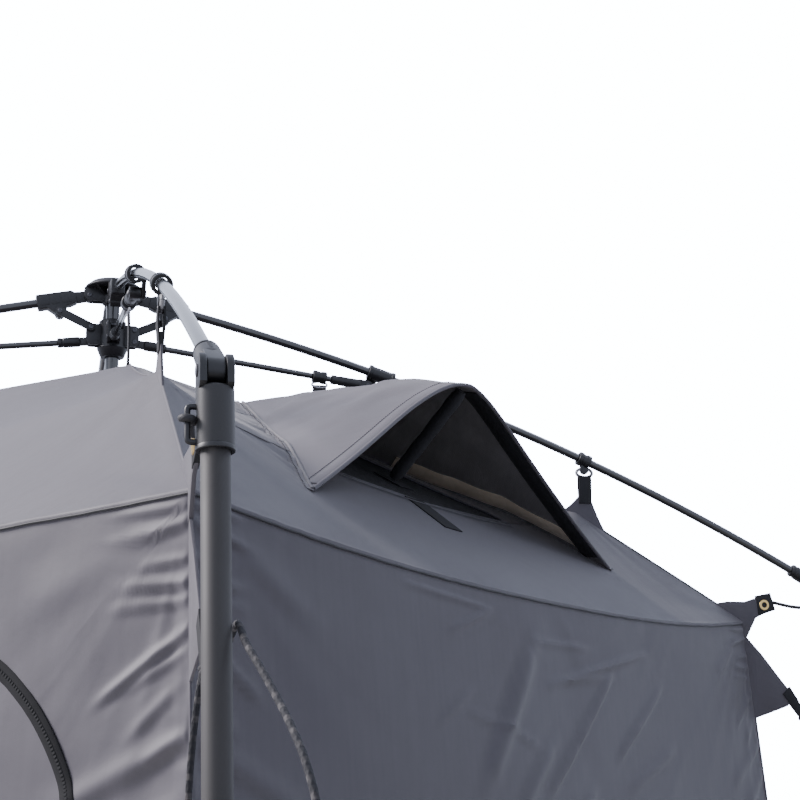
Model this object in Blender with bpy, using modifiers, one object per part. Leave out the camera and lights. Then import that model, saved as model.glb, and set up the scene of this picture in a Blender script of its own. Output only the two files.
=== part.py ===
"""Shower tent: a fabric cabin hung inside a four-legged umbrella frame.

World axes: +X is the right wall with the roof vent, -Y the front wall with the door, +Z up,
and the floor is z = 0 under the hub. The four corners are alike, so each corner's pieces are
modelled once in a corner frame, where x runs outward along the cabin's diagonal, y sideways and
z up. An empty at the middle of the tent turns each corner's pieces into place.
"""

import math

import bmesh
import bpy
from mathutils import Matrix, Vector

MM = 0.001
GAP = 0.3 * MM
# Edges shorter than this are merged where two shapes are joined
SLIVER = 0.02 * MM

# Frame
HUB_Z = 2.250
KNUCKLE_HALF = 0.620
KNUCKLE_Z = 1.935
ARM_PIVOT_R = 26 * MM
RIB_BOW = 34.5 * MM
RIB_RADIUS = 4.75 * MM
STRETCHER_RADIUS = 3.45 * MM
PIN_RADIUS = 2.0 * MM

# Cabin
EAVE_HALF = 0.543
EAVE_CORNER_Z = 1.885
EAVE_MIDDLE_Z = 1.868
SPLAY = 0.069
HEM_Z = 0.015
CLOTH = 3 * MM
# Roof section: half width, height on the hip, height at the middle of the side
ROOF_LEVELS = (
    (0.000, 2.095, 2.095),
    (0.187, 2.108, 2.098),
    (0.391, 2.016, 1.985),
    (EAVE_HALF, EAVE_CORNER_Z, EAVE_MIDDLE_Z),
)

# Hub
POST_RADIUS = 7.5 * MM
POST_BOTTOM_Z = HUB_Z - 118 * MM
HUB_CAP_RADIUS = 24 * MM
HUB_CORE_RADIUS = 12 * MM
RUNNER_CORE_RADIUS = 15 * MM
RUNNER_TOP_Z = HUB_Z - 28 * MM
RUNNER_BOTTOM_Z = HUB_Z - 70 * MM
EAR_INNER = 3.8 * MM
EAR_OUTER = 7.0 * MM
TONGUE_HALF = 3.4 * MM
LUG_PIVOT = Vector((58 * MM, 0, HUB_Z - 22 * MM))
LINK_PIVOT = Vector((24 * MM, 0, HUB_Z - 38 * MM))
STRETCHER_PIVOT = Vector((24 * MM, 0, HUB_Z - 52 * MM))
LAP_INNER = 7.3 * MM
LAP_OUTER = 10.8 * MM

# Rib fittings, as distances along the rib's chord from the arm pivot
ARM_LENGTH = 58 * MM
ROD_START = 36 * MM
COLLAR_AT = 0.293
COLLAR_ARM_BACK = 12 * MM
COLLAR_ARM_DROP = 17 * MM
ROOF_CLIP_SHARE = 0.62
STRETCHER_CLIP_AT = 0.215

# Legs
LEG_RADIUS = 8.2 * MM
LEG_BORE = 7.3 * MM
LOWER_RADIUS = 7.0 * MM
LOWER_BORE = 6.0 * MM
UPPER_LENGTH = 1.000
OVERLAP = 0.075
FERRULE_LENGTH = 36 * MM
SLEEVE_RADIUS = 10.7 * MM
SLEEVE_END = 46 * MM
KNUCKLE_EAR_INNER = 5.4 * MM
KNUCKLE_EAR_OUTER = 9.6 * MM
HOOK_RADIUS = 1.8 * MM
FOOT_RADIUS = 18 * MM

# Door, in the front wall's plane
DOOR_HALF = 0.475
DOOR_TOP_Z = 1.815
DOOR_SILL_Z = 0.060
DOOR_CORNER = 0.170
ZIP_GAP = 0.5 * MM

# Vent on the right slope
VENT_REAR_X = 0.187
VENT_FOOT_X = 0.469
VENT_APEX_X = 0.454
VENT_HALF = 0.298
VENT_RISE = 0.155
VENT_HOLE = ((0.270, 0.045), (0.405, 0.170))
PROP_RADIUS = 5 * MM

# Guy lines
TAB_TIP = Vector((0.833, 0, 1.796))
# End of the webbing loop that hangs from the tab's tip
TAB_NOSE_HIGH = (0.8468, 1.7786)
TAB_NOSE_LOW = (0.8382, 1.7734)
GUY_RADIUS = 2 * MM
PEG_OUT = 1.430
PEG_ASIDE = 0.110
PEG_RADIUS = 3 * MM
PEG_HEIGHT = 45 * MM

CORNERS = {
    "front_right": -45.0,
    "back_right": 45.0,
    "back_left": 135.0,
    "front_left": 225.0,
}
# Side of the leg that each pegged guy line passes
GUY_SIDES = {"back_right": -1, "back_left": 1, "front_left": -1}

RIB_PIVOT = Vector((ARM_PIVOT_R, 0, HUB_Z))
KNUCKLE = Vector((KNUCKLE_HALF * math.sqrt(2), 0, KNUCKLE_Z))
RIB_LENGTH = (KNUCKLE - RIB_PIVOT).length
RIB_ALONG = (KNUCKLE - RIB_PIVOT).normalized()
RIB_OVER = Vector((-RIB_ALONG.z, 0, RIB_ALONG.x))
DIAGONAL_SPLAY = SPLAY * math.sqrt(2)
LEG_DOWN = Vector((DIAGONAL_SPLAY, 0, -1)).normalized()
LEG_LENGTH = KNUCKLE_Z / -LEG_DOWN.z
SIDE = Vector((0, 1, 0))

# Finishes: linear colour, roughness, metallic
FINISHES = {
    "black_plastic": ((0.018, 0.018, 0.020), 0.45, 0.0),
    "black_rod": ((0.012, 0.012, 0.014), 0.25, 0.0),
    "grey_metal": ((0.115, 0.115, 0.120), 0.38, 0.8),
    "grey_fabric": ((0.235, 0.228, 0.262), 0.75, 0.0),
    "black_mesh": ((0.010, 0.010, 0.011), 0.85, 0.0),
    "black_webbing": ((0.014, 0.014, 0.015), 0.80, 0.0),
    "guy_cord": ((0.060, 0.060, 0.066), 0.70, 0.0),
    "steel": ((0.520, 0.520, 0.530), 0.30, 1.0),
}


def clear_scene():
    """Remove every object of the open scene."""
    for old in list(bpy.data.objects):
        bpy.data.objects.remove(old, do_unlink=True)


def finish(name):
    """Return the named material, made on first use."""
    material = bpy.data.materials.get(name)
    if material is None:
        colour, roughness, metallic = FINISHES[name]
        material = bpy.data.materials.new(name)
        material.use_nodes = True
        shader = material.node_tree.nodes["Principled BSDF"]
        shader.inputs["Base Color"].default_value = (*colour, 1.0)
        shader.inputs["Roughness"].default_value = roughness
        shader.inputs["Metallic"].default_value = metallic
        material.diffuse_color = (*colour, 1.0)
    return material


def solid_object(mesh):
    """Put a mesh in the scene as a loose work piece."""
    piece = bpy.data.objects.new("work_piece", mesh)
    bpy.context.scene.collection.objects.link(piece)
    return piece


def solid_from(bm):
    """Turn a bmesh into a work piece."""
    mesh = bpy.data.meshes.new("work_piece")
    bm.to_mesh(mesh)
    bm.free()
    return solid_object(mesh)


def evaluated_mesh(piece):
    """Return the mesh of a piece with its modifiers applied."""
    bpy.context.view_layer.update()
    graph = bpy.context.evaluated_depsgraph_get()
    return bpy.data.meshes.new_from_object(piece.evaluated_get(graph))


def cylinder(start, end, radius, end_radius=None, sides=12):
    """Return a cylinder or cone from start to end."""
    start, end = Vector(start), Vector(end)
    turn = (end - start).to_track_quat("Z", "Y").to_matrix().to_4x4()
    bm = bmesh.new()
    bmesh.ops.create_cone(
        bm,
        cap_ends=True,
        segments=sides,
        radius1=radius,
        radius2=radius if end_radius is None else end_radius,
        depth=(end - start).length,
        matrix=Matrix.Translation((start + end) / 2) @ turn,
    )
    return solid_from(bm)


def meshed(curve_object):
    """Replace a curve object by a mesh with welded caps."""
    bpy.context.scene.collection.objects.link(curve_object)
    mesh = evaluated_mesh(curve_object)
    mesh.transform(curve_object.matrix_world)
    bpy.data.objects.remove(curve_object)
    bm = bmesh.new()
    bm.from_mesh(mesh)
    bmesh.ops.remove_doubles(bm, verts=bm.verts, dist=0.001 * MM)
    bmesh.ops.recalc_face_normals(bm, faces=bm.faces)
    bm.to_mesh(mesh)
    bm.free()
    return solid_object(mesh)


def poly_spline(curve, points, cyclic=False):
    """Add a straight-segment spline through the points."""
    spline = curve.splines.new("POLY")
    spline.points.add(len(points) - 1)
    for place, point in zip(spline.points, points):
        place.co = (*point, 1.0)
    spline.use_cyclic_u = cyclic


def prism(outline, low, high, matrix=None):
    """Extrude a flat outline of (x, y) points from z = low to high."""
    curve = bpy.data.curves.new("outline", "CURVE")
    curve.dimensions = "2D"
    curve.fill_mode = "BOTH"
    curve.extrude = (high - low) / 2
    poly_spline(curve, [(x, y, 0.0) for x, y in outline], cyclic=True)
    flat = bpy.data.objects.new("outline", curve)
    placed = Matrix.Translation((0, 0, (low + high) / 2))
    flat.matrix_world = placed if matrix is None else matrix @ placed
    return meshed(flat)


def plate(outline, side_low, side_high):
    """Extrude an outline of (x, z) points sideways, from y = side_low to side_high."""
    return prism(outline, -side_high, -side_low, Matrix.Rotation(math.pi / 2, 4, "X"))


def tube(points, radius, resolution=2):
    """Return a round rod that follows the points."""
    curve = bpy.data.curves.new("route", "CURVE")
    curve.dimensions = "3D"
    curve.bevel_depth = radius
    curve.bevel_resolution = resolution
    curve.use_fill_caps = True
    poly_spline(curve, points)
    return meshed(bpy.data.objects.new("route", curve))


def combined(base, added=(), removed=(), solver="EXACT"):
    """Return base with the added solids joined and the removed ones cut away."""
    for operation, tools in (("UNION", added), ("DIFFERENCE", removed)):
        for tool in tools:
            modifier = base.modifiers.new(operation.title(), "BOOLEAN")
            modifier.operation = operation
            modifier.solver = solver
            modifier.object = tool
    mesh = evaluated_mesh(base)
    for used in (base, *added, *removed):
        bpy.data.objects.remove(used)
    bm = bmesh.new()
    bm.from_mesh(mesh)
    bmesh.ops.remove_doubles(bm, verts=bm.verts, dist=SLIVER)
    bmesh.ops.dissolve_degenerate(bm, dist=SLIVER, edges=bm.edges)
    bm.to_mesh(mesh)
    bm.free()
    return solid_object(mesh)


def arc(centre, radius, start_deg, end_deg, steps=5):
    """Return points on an arc in a flat outline's own plane."""
    points = []
    for step in range(steps + 1):
        angle = math.radians(start_deg + (end_deg - start_deg) * step / steps)
        points.append((centre[0] + radius * math.cos(angle), centre[1] + radius * math.sin(angle)))
    return points


def bar_outline(first, second, first_radius, second_radius):
    """Return the (x, z) outline of a bar with round ends at two pivots."""
    heading = math.degrees(math.atan2(second.z - first.z, second.x - first.x))
    far = arc((second.x, second.z), second_radius, heading - 90, heading + 90)
    near = arc((first.x, first.z), first_radius, heading + 90, heading + 270)
    return far + near


def pin(pivot, radius, half_length):
    """Return a pin that runs sideways through a pivot."""
    return cylinder(pivot - SIDE * half_length, pivot + SIDE * half_length, radius, sides=8)


def turned(piece, azimuth_deg):
    """Turn a work piece about the tent's middle."""
    piece.data.transform(Matrix.Rotation(math.radians(azimuth_deg), 4, "Z"))
    return piece


def rib_point(along):
    """Return the rib's centre at a distance along its chord."""
    share = along / RIB_LENGTH
    return RIB_PIVOT + RIB_ALONG * along + RIB_OVER * (4 * RIB_BOW * share * (1 - share))


def rib_direction(along):
    """Return the direction of the bowed rib at a distance along its chord."""
    slope = 4 * RIB_BOW / RIB_LENGTH * (1 - 2 * along / RIB_LENGTH)
    return (RIB_ALONG + RIB_OVER * slope).normalized()


def rib_over(along):
    """Return the direction square to the rib, upward, at a distance along its chord."""
    direction = rib_direction(along)
    return Vector((-direction.z, 0, direction.x))


def stretcher_outer_pivot():
    """Return the pivot where a stretcher hangs from its collar."""
    back = rib_point(COLLAR_AT) - rib_direction(COLLAR_AT) * COLLAR_ARM_BACK
    return back - rib_over(COLLAR_AT) * COLLAR_ARM_DROP


def roof_height(across, along):
    """Return the height of the roof above a point of its plan."""
    level = max(abs(across), abs(along))
    share = min(abs(across), abs(along)) / level if level else 0.0
    for (inner, inner_hip, inner_side), (outer, outer_hip, outer_side) in zip(
        ROOF_LEVELS, ROOF_LEVELS[1:]
    ):
        if level <= outer + GAP:
            part = (level - inner) / (outer - inner)
            hip = inner_hip + (outer_hip - inner_hip) * part
            side = inner_side + (outer_side - inner_side) * part
            return side + (hip - side) * share**2
    raise ValueError("the point lies outside the roof")


def cabin_half(z):
    """Return the cabin's half width at a height."""
    return EAVE_HALF + SPLAY * (EAVE_CORNER_Z - z)


def plan_point(across, along, z):
    """Turn a point given along the corner's two walls into the corner frame."""
    half = math.sqrt(0.5)
    return Vector(((across + along) * half, (across - along) * half, z))


def surface(columns, rows, place):
    """Return a bmesh grid whose (u, v) points, each from 0 to 1, are moved by place."""
    bm = bmesh.new()
    bmesh.ops.create_grid(bm, x_segments=columns, y_segments=rows, size=0.5)
    for vert in bm.verts:
        vert.co = place(vert.co.x + 0.5, vert.co.y + 0.5)
    return bm


def thickened(bm, offset):
    """Turn a surface into a solid by sweeping it along an offset."""
    swept = bmesh.ops.extrude_face_region(bm, geom=bm.faces[:], use_keep_orig=True)
    verts = [item for item in swept["geom"] if isinstance(item, bmesh.types.BMVert)]
    bmesh.ops.translate(bm, vec=offset, verts=verts)
    bmesh.ops.recalc_face_normals(bm, faces=bm.faces)
    return solid_from(bm)


def make_upper_hub():
    """Cap, core and four pairs of ears that hold the rib arms."""
    z = HUB_Z
    ear_radius = 6 * MM
    ear = arc((ARM_PIVOT_R, z), ear_radius, -90, 0, 4) + [
        (ARM_PIVOT_R + ear_radius, z + 9 * MM),
        (6 * MM, z + 9 * MM),
        (6 * MM, z - ear_radius),
    ]
    body = cylinder((0, 0, z - 8 * MM), (0, 0, z + 9 * MM), HUB_CORE_RADIUS, sides=16)
    cap = cylinder(
        (0, 0, z + 8.5 * MM), (0, 0, z + 17 * MM), HUB_CAP_RADIUS + 7 * MM, HUB_CAP_RADIUS, sides=24
    )
    added, holes = [cap], []
    for azimuth in CORNERS.values():
        for low, high in ((EAR_INNER, EAR_OUTER), (-EAR_OUTER, -EAR_INNER)):
            added.append(turned(plate(ear, low, high), azimuth))
        holes.append(turned(pin(RIB_PIVOT, PIN_RADIUS + GAP, 12 * MM), azimuth))
    bore = cylinder((0, 0, z - 12 * MM), (0, 0, z + 5 * MM), POST_RADIUS + GAP)
    return combined(body, added=added, removed=[*holes, bore])


def make_hub_post():
    """Short post that the runner slides on, with a stop washer at its foot."""
    shaft = cylinder((0, 0, POST_BOTTOM_Z), (0, 0, HUB_Z + 5 * MM - GAP), POST_RADIUS)
    stop = cylinder((0, 0, POST_BOTTOM_Z - 4 * MM), (0, 0, POST_BOTTOM_Z + 2 * MM), 11 * MM)
    return combined(shaft, added=[stop])


def make_lower_hub():
    """Runner with a slotted ear at each corner for the link and the stretcher."""
    core = cylinder((0, 0, RUNNER_BOTTOM_Z + 8 * MM), (0, 0, RUNNER_TOP_Z), RUNNER_CORE_RADIUS)
    cup = cylinder(
        (0, 0, RUNNER_BOTTOM_Z),
        (0, 0, RUNNER_BOTTOM_Z + 10 * MM),
        RUNNER_CORE_RADIUS - 2 * MM,
        RUNNER_CORE_RADIUS + 2 * MM,
    )
    ear_radius = 5 * MM
    ear = (
        arc((STRETCHER_PIVOT.x, STRETCHER_PIVOT.z), ear_radius, -90, 0, 4)
        + arc((LINK_PIVOT.x, LINK_PIVOT.z), ear_radius, 0, 90, 4)
        + [(10 * MM, LINK_PIVOT.z + ear_radius), (10 * MM, STRETCHER_PIVOT.z - ear_radius)]
    )
    added, holes = [cup], []
    for azimuth in CORNERS.values():
        for low, high in ((EAR_INNER, EAR_OUTER), (-EAR_OUTER, -EAR_INNER)):
            added.append(turned(plate(ear, low, high), azimuth))
        for pivot in (LINK_PIVOT, STRETCHER_PIVOT):
            holes.append(turned(pin(pivot, PIN_RADIUS + GAP, 12 * MM), azimuth))
    bore = cylinder(
        (0, 0, RUNNER_BOTTOM_Z - MM), (0, 0, RUNNER_TOP_Z + MM), POST_RADIUS + 2 * GAP
    )
    return combined(core, added=added, removed=[*holes, bore])


def make_rib_arm():
    """Box-section arm with a tongue at the hub, a lug under it and a socket for the rod."""
    aim = rib_direction(ARM_LENGTH / 2)
    over = rib_over(ARM_LENGTH / 2)
    middle = rib_point(ARM_LENGTH / 2) - aim * (ARM_LENGTH / 2)

    def spot(along, above):
        point = middle + aim * along + over * above
        return point.x, point.z

    tongue = plate(
        arc((RIB_PIVOT.x, RIB_PIVOT.z), 5.5 * MM, 80, 260)
        + [spot(22 * MM, -6 * MM), spot(22 * MM, 7 * MM)],
        -TONGUE_HALF,
        TONGUE_HALF,
    )
    section = plate(
        [
            spot(15 * MM, -6 * MM),
            spot(22 * MM, -8 * MM),
            spot(26 * MM, -8 * MM),
            *arc((LUG_PIVOT.x, LUG_PIVOT.z), 5.5 * MM, 190, 350),
            spot(48 * MM, -8 * MM),
            spot(ARM_LENGTH, -8 * MM),
            spot(ARM_LENGTH, 8 * MM),
            spot(19 * MM, 8 * MM),
            spot(15 * MM, 5 * MM),
        ],
        -EAR_OUTER,
        EAR_OUTER,
    )
    steps = 3
    reach = ARM_LENGTH + 6 * MM - ROD_START
    route = [rib_point(ROD_START + reach * step / steps) for step in range(steps + 1)]
    socket = tube(route, RIB_RADIUS + 2 * GAP)
    axle = pin(RIB_PIVOT, PIN_RADIUS, EAR_OUTER)
    return combined(tongue, added=[section, axle], removed=[socket])


def make_rib_rod():
    """Bowed rod with the moulded end piece that hangs in the knuckle."""
    last = RIB_LENGTH - 50 * MM
    start = ROD_START + GAP
    steps = 10
    bow = [rib_point(start + (last - start) * step / steps) for step in range(steps + 1)]
    rod = tube(bow, RIB_RADIUS)
    aim = rib_direction(RIB_LENGTH)
    socket = cylinder(KNUCKLE - aim * 68 * MM, KNUCKLE - aim * 15 * MM, 8.5 * MM)
    tongue = plate(bar_outline(KNUCKLE - aim * 18 * MM, KNUCKLE, 8 * MM, 8 * MM), -5 * MM, 5 * MM)
    axle = pin(KNUCKLE, 3 * MM, KNUCKLE_EAR_OUTER)
    return combined(socket, added=[rod, tongue, axle])


def make_rib_collar():
    """Sliding collar with the arm that the stretcher hangs from."""
    centre = rib_point(COLLAR_AT)
    aim = rib_direction(COLLAR_AT)
    pivot = stretcher_outer_pivot()
    sleeve = cylinder(centre - aim * 16 * MM, centre + aim * 16 * MM, 9 * MM)
    arm = plate(
        bar_outline(pivot, centre - aim * 6 * MM, 6 * MM, 7 * MM), LAP_INNER, LAP_OUTER
    )
    bore = cylinder(centre - aim * 20 * MM, centre + aim * 20 * MM, RIB_RADIUS + 0.8 * MM)
    return combined(sleeve, added=[arm], removed=[bore], solver="MANIFOLD")


def make_stretcher():
    """Thin rod with a socket at each end and the clip that the roof's top hangs from."""
    inner, outer = STRETCHER_PIVOT, stretcher_outer_pivot()
    aim = (outer - inner).normalized()
    tongue_outline = bar_outline(inner, inner + aim * 14 * MM, 4.2 * MM, 4.2 * MM)
    tongue = plate(tongue_outline, -TONGUE_HALF, TONGUE_HALF)
    inner_socket = cylinder(inner + aim * 11 * MM, inner + aim * 36 * MM, 5.8 * MM, sides=10)
    rod = cylinder(inner + aim * 32 * MM, outer - aim * 40 * MM, STRETCHER_RADIUS, sides=8)
    outer_socket = cylinder(outer - aim * 44 * MM, outer - aim * 8 * MM, 5.8 * MM, sides=10)
    eye = plate(bar_outline(outer - aim * 10 * MM, outer, 5.6 * MM, 5.6 * MM), -EAR_INNER, EAR_OUTER)
    clip_at = inner + aim * STRETCHER_CLIP_AT
    clip = cylinder(clip_at - aim * 8 * MM, clip_at + aim * 8 * MM, 7.5 * MM, sides=10)
    axle = pin(inner, PIN_RADIUS, EAR_OUTER)
    return combined(inner_socket, added=[tongue, rod, outer_socket, eye, clip, axle])


def make_hub_link():
    """Flat link from the runner to the lug under the rib arm."""
    bar = plate(bar_outline(LINK_PIVOT, LUG_PIVOT, 4.6 * MM, 4.6 * MM), LAP_INNER, LAP_OUTER)
    inner, outer = -SIDE * EAR_OUTER, SIDE * (LAP_OUTER - MM)
    shank = cylinder(LINK_PIVOT + inner, LINK_PIVOT + outer, PIN_RADIUS, sides=8)
    return combined(bar, added=[shank], solver="MANIFOLD")


def make_knuckle():
    """Moulded clevis and sleeve at the top of the leg, with the hook for the cabin's elastic."""
    end = KNUCKLE + LEG_DOWN * SLEEVE_END
    sleeve = cylinder(KNUCKLE + LEG_DOWN * 10 * MM, end, SLEEVE_RADIUS)
    ear = bar_outline(KNUCKLE, KNUCKLE + LEG_DOWN * 8 * MM, 10 * MM, 10 * MM)
    ears = [
        plate(ear, KNUCKLE_EAR_INNER, KNUCKLE_EAR_OUTER),
        plate(ear, -KNUCKLE_EAR_OUTER, -KNUCKLE_EAR_INNER),
    ]
    hook_side = -SIDE * 15 * MM
    hook_top, hook_foot = (KNUCKLE + LEG_DOWN * at + hook_side for at in (20 * MM, 42 * MM))
    hook = cylinder(hook_top, hook_foot, HOOK_RADIUS, sides=8)
    stubs = []
    for at in (22 * MM, 40 * MM):
        root = KNUCKLE + LEG_DOWN * at
        stubs.append(cylinder(root, root + hook_side, 2 * MM, sides=6))
    bore = cylinder(KNUCKLE + LEG_DOWN * 16 * MM, end + LEG_DOWN * 2 * MM, LEG_RADIUS + GAP)
    hole = pin(KNUCKLE, 3 * MM + GAP, 14 * MM)
    added = [*ears, hook, *stubs]
    return combined(sleeve, added=added, removed=[bore, hole], solver="MANIFOLD")


def make_leg_upper():
    """Upper leg tube with the clamping ferrule at its foot."""
    end = KNUCKLE + LEG_DOWN * UPPER_LENGTH
    body = cylinder(KNUCKLE + LEG_DOWN * (16 * MM + GAP), end, LEG_RADIUS)
    ferrule = cylinder(end - LEG_DOWN * FERRULE_LENGTH, end + LEG_DOWN * 2 * MM, 11.5 * MM)
    bore = cylinder(KNUCKLE + LEG_DOWN * 10 * MM, end + LEG_DOWN * 10 * MM, LEG_BORE)
    return combined(body, added=[ferrule], removed=[bore])


def make_leg_lower():
    """Lower leg tube that slides in the upper one, on a moulded foot."""
    foot = KNUCKLE + LEG_DOWN * LEG_LENGTH
    top = KNUCKLE + LEG_DOWN * (UPPER_LENGTH - OVERLAP)
    inside = KNUCKLE + LEG_DOWN * (LEG_LENGTH - 60 * MM)
    shaft = cylinder(top, foot - LEG_DOWN * 12 * MM, LOWER_RADIUS)
    sole = cylinder(foot, foot + Vector((0, 0, 9 * MM)), FOOT_RADIUS, sides=16)
    neck = cylinder(foot + Vector((0, 0, 8.5 * MM)), foot - LEG_DOWN * 34 * MM, 15 * MM, 10 * MM)
    bore = cylinder(top - LEG_DOWN * MM, inside, LOWER_BORE)
    return combined(sole, added=[neck, shaft], removed=[bore])


def hanging_strap(under, aim, half, foot_z, clearance):
    """Return webbing that lies broad along a rod and ends a clearance under its axis."""
    top_z, rise = under.z - clearance, half * aim.z / aim.x
    outline = [
        (under.x - half, foot_z),
        (under.x + half, foot_z),
        (under.x + half, top_z + rise),
        (under.x - half, top_z - rise),
    ]
    return plate(outline, -1.2 * MM, 1.2 * MM)


def make_roof_quarter():
    """Quarter of the roof around one hip, with the two straps that it hangs by."""
    start = 0.5 * MM
    # The rows of the grid follow the creases between the roof's levels.
    lines = [start, 0.0935, 0.187, 0.255, 0.323, 0.391, 0.467, EAVE_HALF]

    def place(u, v):
        across = lines[round(u * (len(lines) - 1))]
        along = lines[round(v * (len(lines) - 1))]
        return plan_point(across, along, roof_height(across, along))

    panel = thickened(surface(len(lines) - 1, len(lines) - 1, place), Vector((0, 0, -CLOTH)))
    clip_at = RIB_LENGTH * ROOF_CLIP_SHARE
    clip_point, aim = rib_point(clip_at), rib_direction(clip_at)
    hip = math.sqrt(0.5)
    cloth_z = roof_height(clip_point.x * hip, clip_point.x * hip)
    ring = cylinder(clip_point - aim * 8 * MM, clip_point + aim * 8 * MM, 8.5 * MM)
    # The strap starts inside the gusset's plate.
    strap = hanging_strap(clip_point, aim, 7 * MM, cloth_z + 10 * MM, 7 * MM)
    gusset = plate(
        [
            (clip_point.x - 34 * MM, roof_height(*[(clip_point.x - 34 * MM) * hip] * 2) - CLOTH / 2),
            (clip_point.x + 34 * MM, roof_height(*[(clip_point.x + 34 * MM) * hip] * 2) - CLOTH / 2),
            (clip_point.x, cloth_z + 34 * MM),
        ],
        -1.5 * MM,
        1.5 * MM,
    )
    across = (stretcher_outer_pivot() - STRETCHER_PIVOT).normalized()
    hang = STRETCHER_PIVOT + across * STRETCHER_CLIP_AT
    top_z = roof_height(hang.x * hip, hang.x * hip)
    top_strap = hanging_strap(hang, across, 8 * MM, top_z - CLOTH / 2, 8.2 * MM)
    bore = cylinder(clip_point - aim * 12 * MM, clip_point + aim * 12 * MM, RIB_RADIUS + 2 * GAP)
    hanger = combined(strap, added=[ring, gusset], removed=[bore])
    return combined(panel, added=[hanger, top_strap])


def make_wall_corner():
    """Two half walls joined at a corner, with the elastic tab and the guy tab."""
    columns, rows = 8, 1

    def place(u, v):
        side = 2 * u - 1
        reach = 1 - abs(side)
        top = EAVE_MIDDLE_Z + (EAVE_CORNER_Z - EAVE_MIDDLE_Z) * reach**2 - CLOTH - 3 * GAP
        z = HEM_Z + (top - HEM_Z) * v
        half = cabin_half(z)
        short = max(half * reach, 0.5 * MM)
        return plan_point(half, short, z) if side < 0 else plan_point(short, half, z)

    walls = solid_from(surface(columns, rows, place))
    shell = walls.modifiers.new("Cloth", "SOLIDIFY")
    shell.thickness = CLOTH
    shell.offset = -1.0
    shell.use_even_offset = True

    def edge(z, inset=2 * MM):
        return cabin_half(z) * math.sqrt(2) - inset, z

    tabs = plate(
        [
            edge(1.773),
            (0.8275, 1.7895),
            TAB_NOSE_LOW,
            TAB_NOSE_HIGH,
            (0.8350, 1.7985),
            (0.7775, 1.8625),
            (0.788, EAVE_CORNER_Z - 17 * MM),
            (0.812, EAVE_CORNER_Z + 18 * MM),
            (0.800, EAVE_CORNER_Z + 38 * MM),
            (0.7705, EAVE_CORNER_Z + 8 * MM),
            (0.7705, EAVE_CORNER_Z - 7 * MM),
            edge(EAVE_CORNER_Z - 7 * MM),
        ],
        -1.5 * MM,
        1.5 * MM,
    )
    hook = KNUCKLE + LEG_DOWN * 31 * MM - SIDE * 15 * MM
    grommet = Vector((0.798, 0, EAVE_CORNER_Z + 27 * MM))
    reach = (hook - grommet).normalized()
    elastic = tube([grommet, hook - reach * (HOOK_RADIUS + 2 * GAP)], 2 * MM)
    return combined(walls, added=[tabs, elastic])


def door_outline(inset):
    """Return the door's rounded outline in the front wall, as (x, z) points."""
    half, top = DOOR_HALF - inset, DOOR_TOP_Z - inset
    radius = DOOR_CORNER - inset
    sill = DOOR_SILL_Z + inset
    left = arc((-half + radius, top - radius), radius, 180, 90, 8)
    right = arc((half - radius, top - radius), radius, 90, 0, 8)
    return [(-half, sill), *left, *right, (half, sill)]


def front_slope():
    """Return the matrix that leans a flat plate at y = 0 into the front wall's plane."""
    lean = Matrix.Identity(4)
    lean[1][2] = SPLAY
    lean[1][3] = -EAVE_HALF - SPLAY * EAVE_CORNER_Z
    return lean


def make_door_cutter():
    """Return the block that opens the doorway through the front wall."""
    block = plate(door_outline(0), -30 * MM, 30 * MM)
    block.data.transform(front_slope())
    return block


def make_door_panel():
    """Door leaf, zipped shut flush in the front wall."""
    leaf = plate(door_outline(ZIP_GAP), 0, CLOTH)
    leaf.data.transform(front_slope())
    return leaf


def vent_outline(inset):
    """Return the plan outline of the hole under the vent hood."""
    (rear, rear_half), (front, front_half) = VENT_HOLE
    return [
        (rear + inset, -rear_half + inset),
        (front - inset, -front_half + inset),
        (front - inset, front_half - inset),
        (rear + inset, rear_half - inset),
    ]


def make_vent_cutter():
    """Return the block that opens the vent through the right slope."""
    return prism(vent_outline(0), 1.80, 2.20)


def make_vent_mesh():
    """Insect mesh in the vent's hole, along the slope of the roof."""
    inset = ZIP_GAP
    (rear, rear_half), (front, front_half) = VENT_HOLE
    # One row lies on the roof's crease.
    rows = (rear + inset, 0.323, ROOF_LEVELS[2][0], front - inset)

    def place(u, v):
        x = rows[round(v * (len(rows) - 1))]
        half = rear_half + (front_half - rear_half) * (x - rear) / (front - rear) - inset
        y = half * (2 * u - 1)
        return Vector((x, y, roof_height(x, y) - 0.5 * MM))

    return thickened(surface(8, len(rows) - 1, place), Vector((0, 0, -2 * MM)))


def hood_rise(across, x):
    """Return the hood's height over the roof at a share across it and a distance out."""
    rounding = 0.30
    fall = (math.hypot(across, rounding) - rounding) / (math.hypot(1, rounding) - rounding)
    return VENT_RISE * (1 - fall) * (x - VENT_REAR_X) / (VENT_FOOT_X - VENT_REAR_X)


def hood_point(across, x):
    """Return a point on the hood's underside."""
    half = 8 * MM + (VENT_HALF - 8 * MM) * (x - VENT_REAR_X) / (VENT_FOOT_X - VENT_REAR_X)
    y = half * across
    return Vector((x, y, roof_height(x, y) + 0.9 * MM + hood_rise(across, x)))


def make_vent_hood():
    """Stiff-rimmed hood that stands open over the vent."""
    rows = (VENT_REAR_X, 0.240, 0.289, 0.340, ROOF_LEVELS[2][0], 0.421)

    def place(u, v):
        across = 2 * u - 1
        row = round(v * len(rows))
        rim = VENT_FOOT_X - (VENT_FOOT_X - VENT_APEX_X) * (1 - across**2)
        return hood_point(across, rows[row] if row < len(rows) else rim)

    return thickened(surface(16, len(rows), place), Vector((0, 0, CLOTH)))


def make_vent_prop():
    """Padded stick that holds the hood open."""
    head = hood_point(0.0, 0.444) - Vector((0, 0, 3.4 * MM))
    foot = Vector((0.366, 0, roof_height(0.366, 0))) + Vector((0.6, 0, 0.8)) * 1.5 * MM
    return cylinder(foot, head, PROP_RADIUS)


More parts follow.
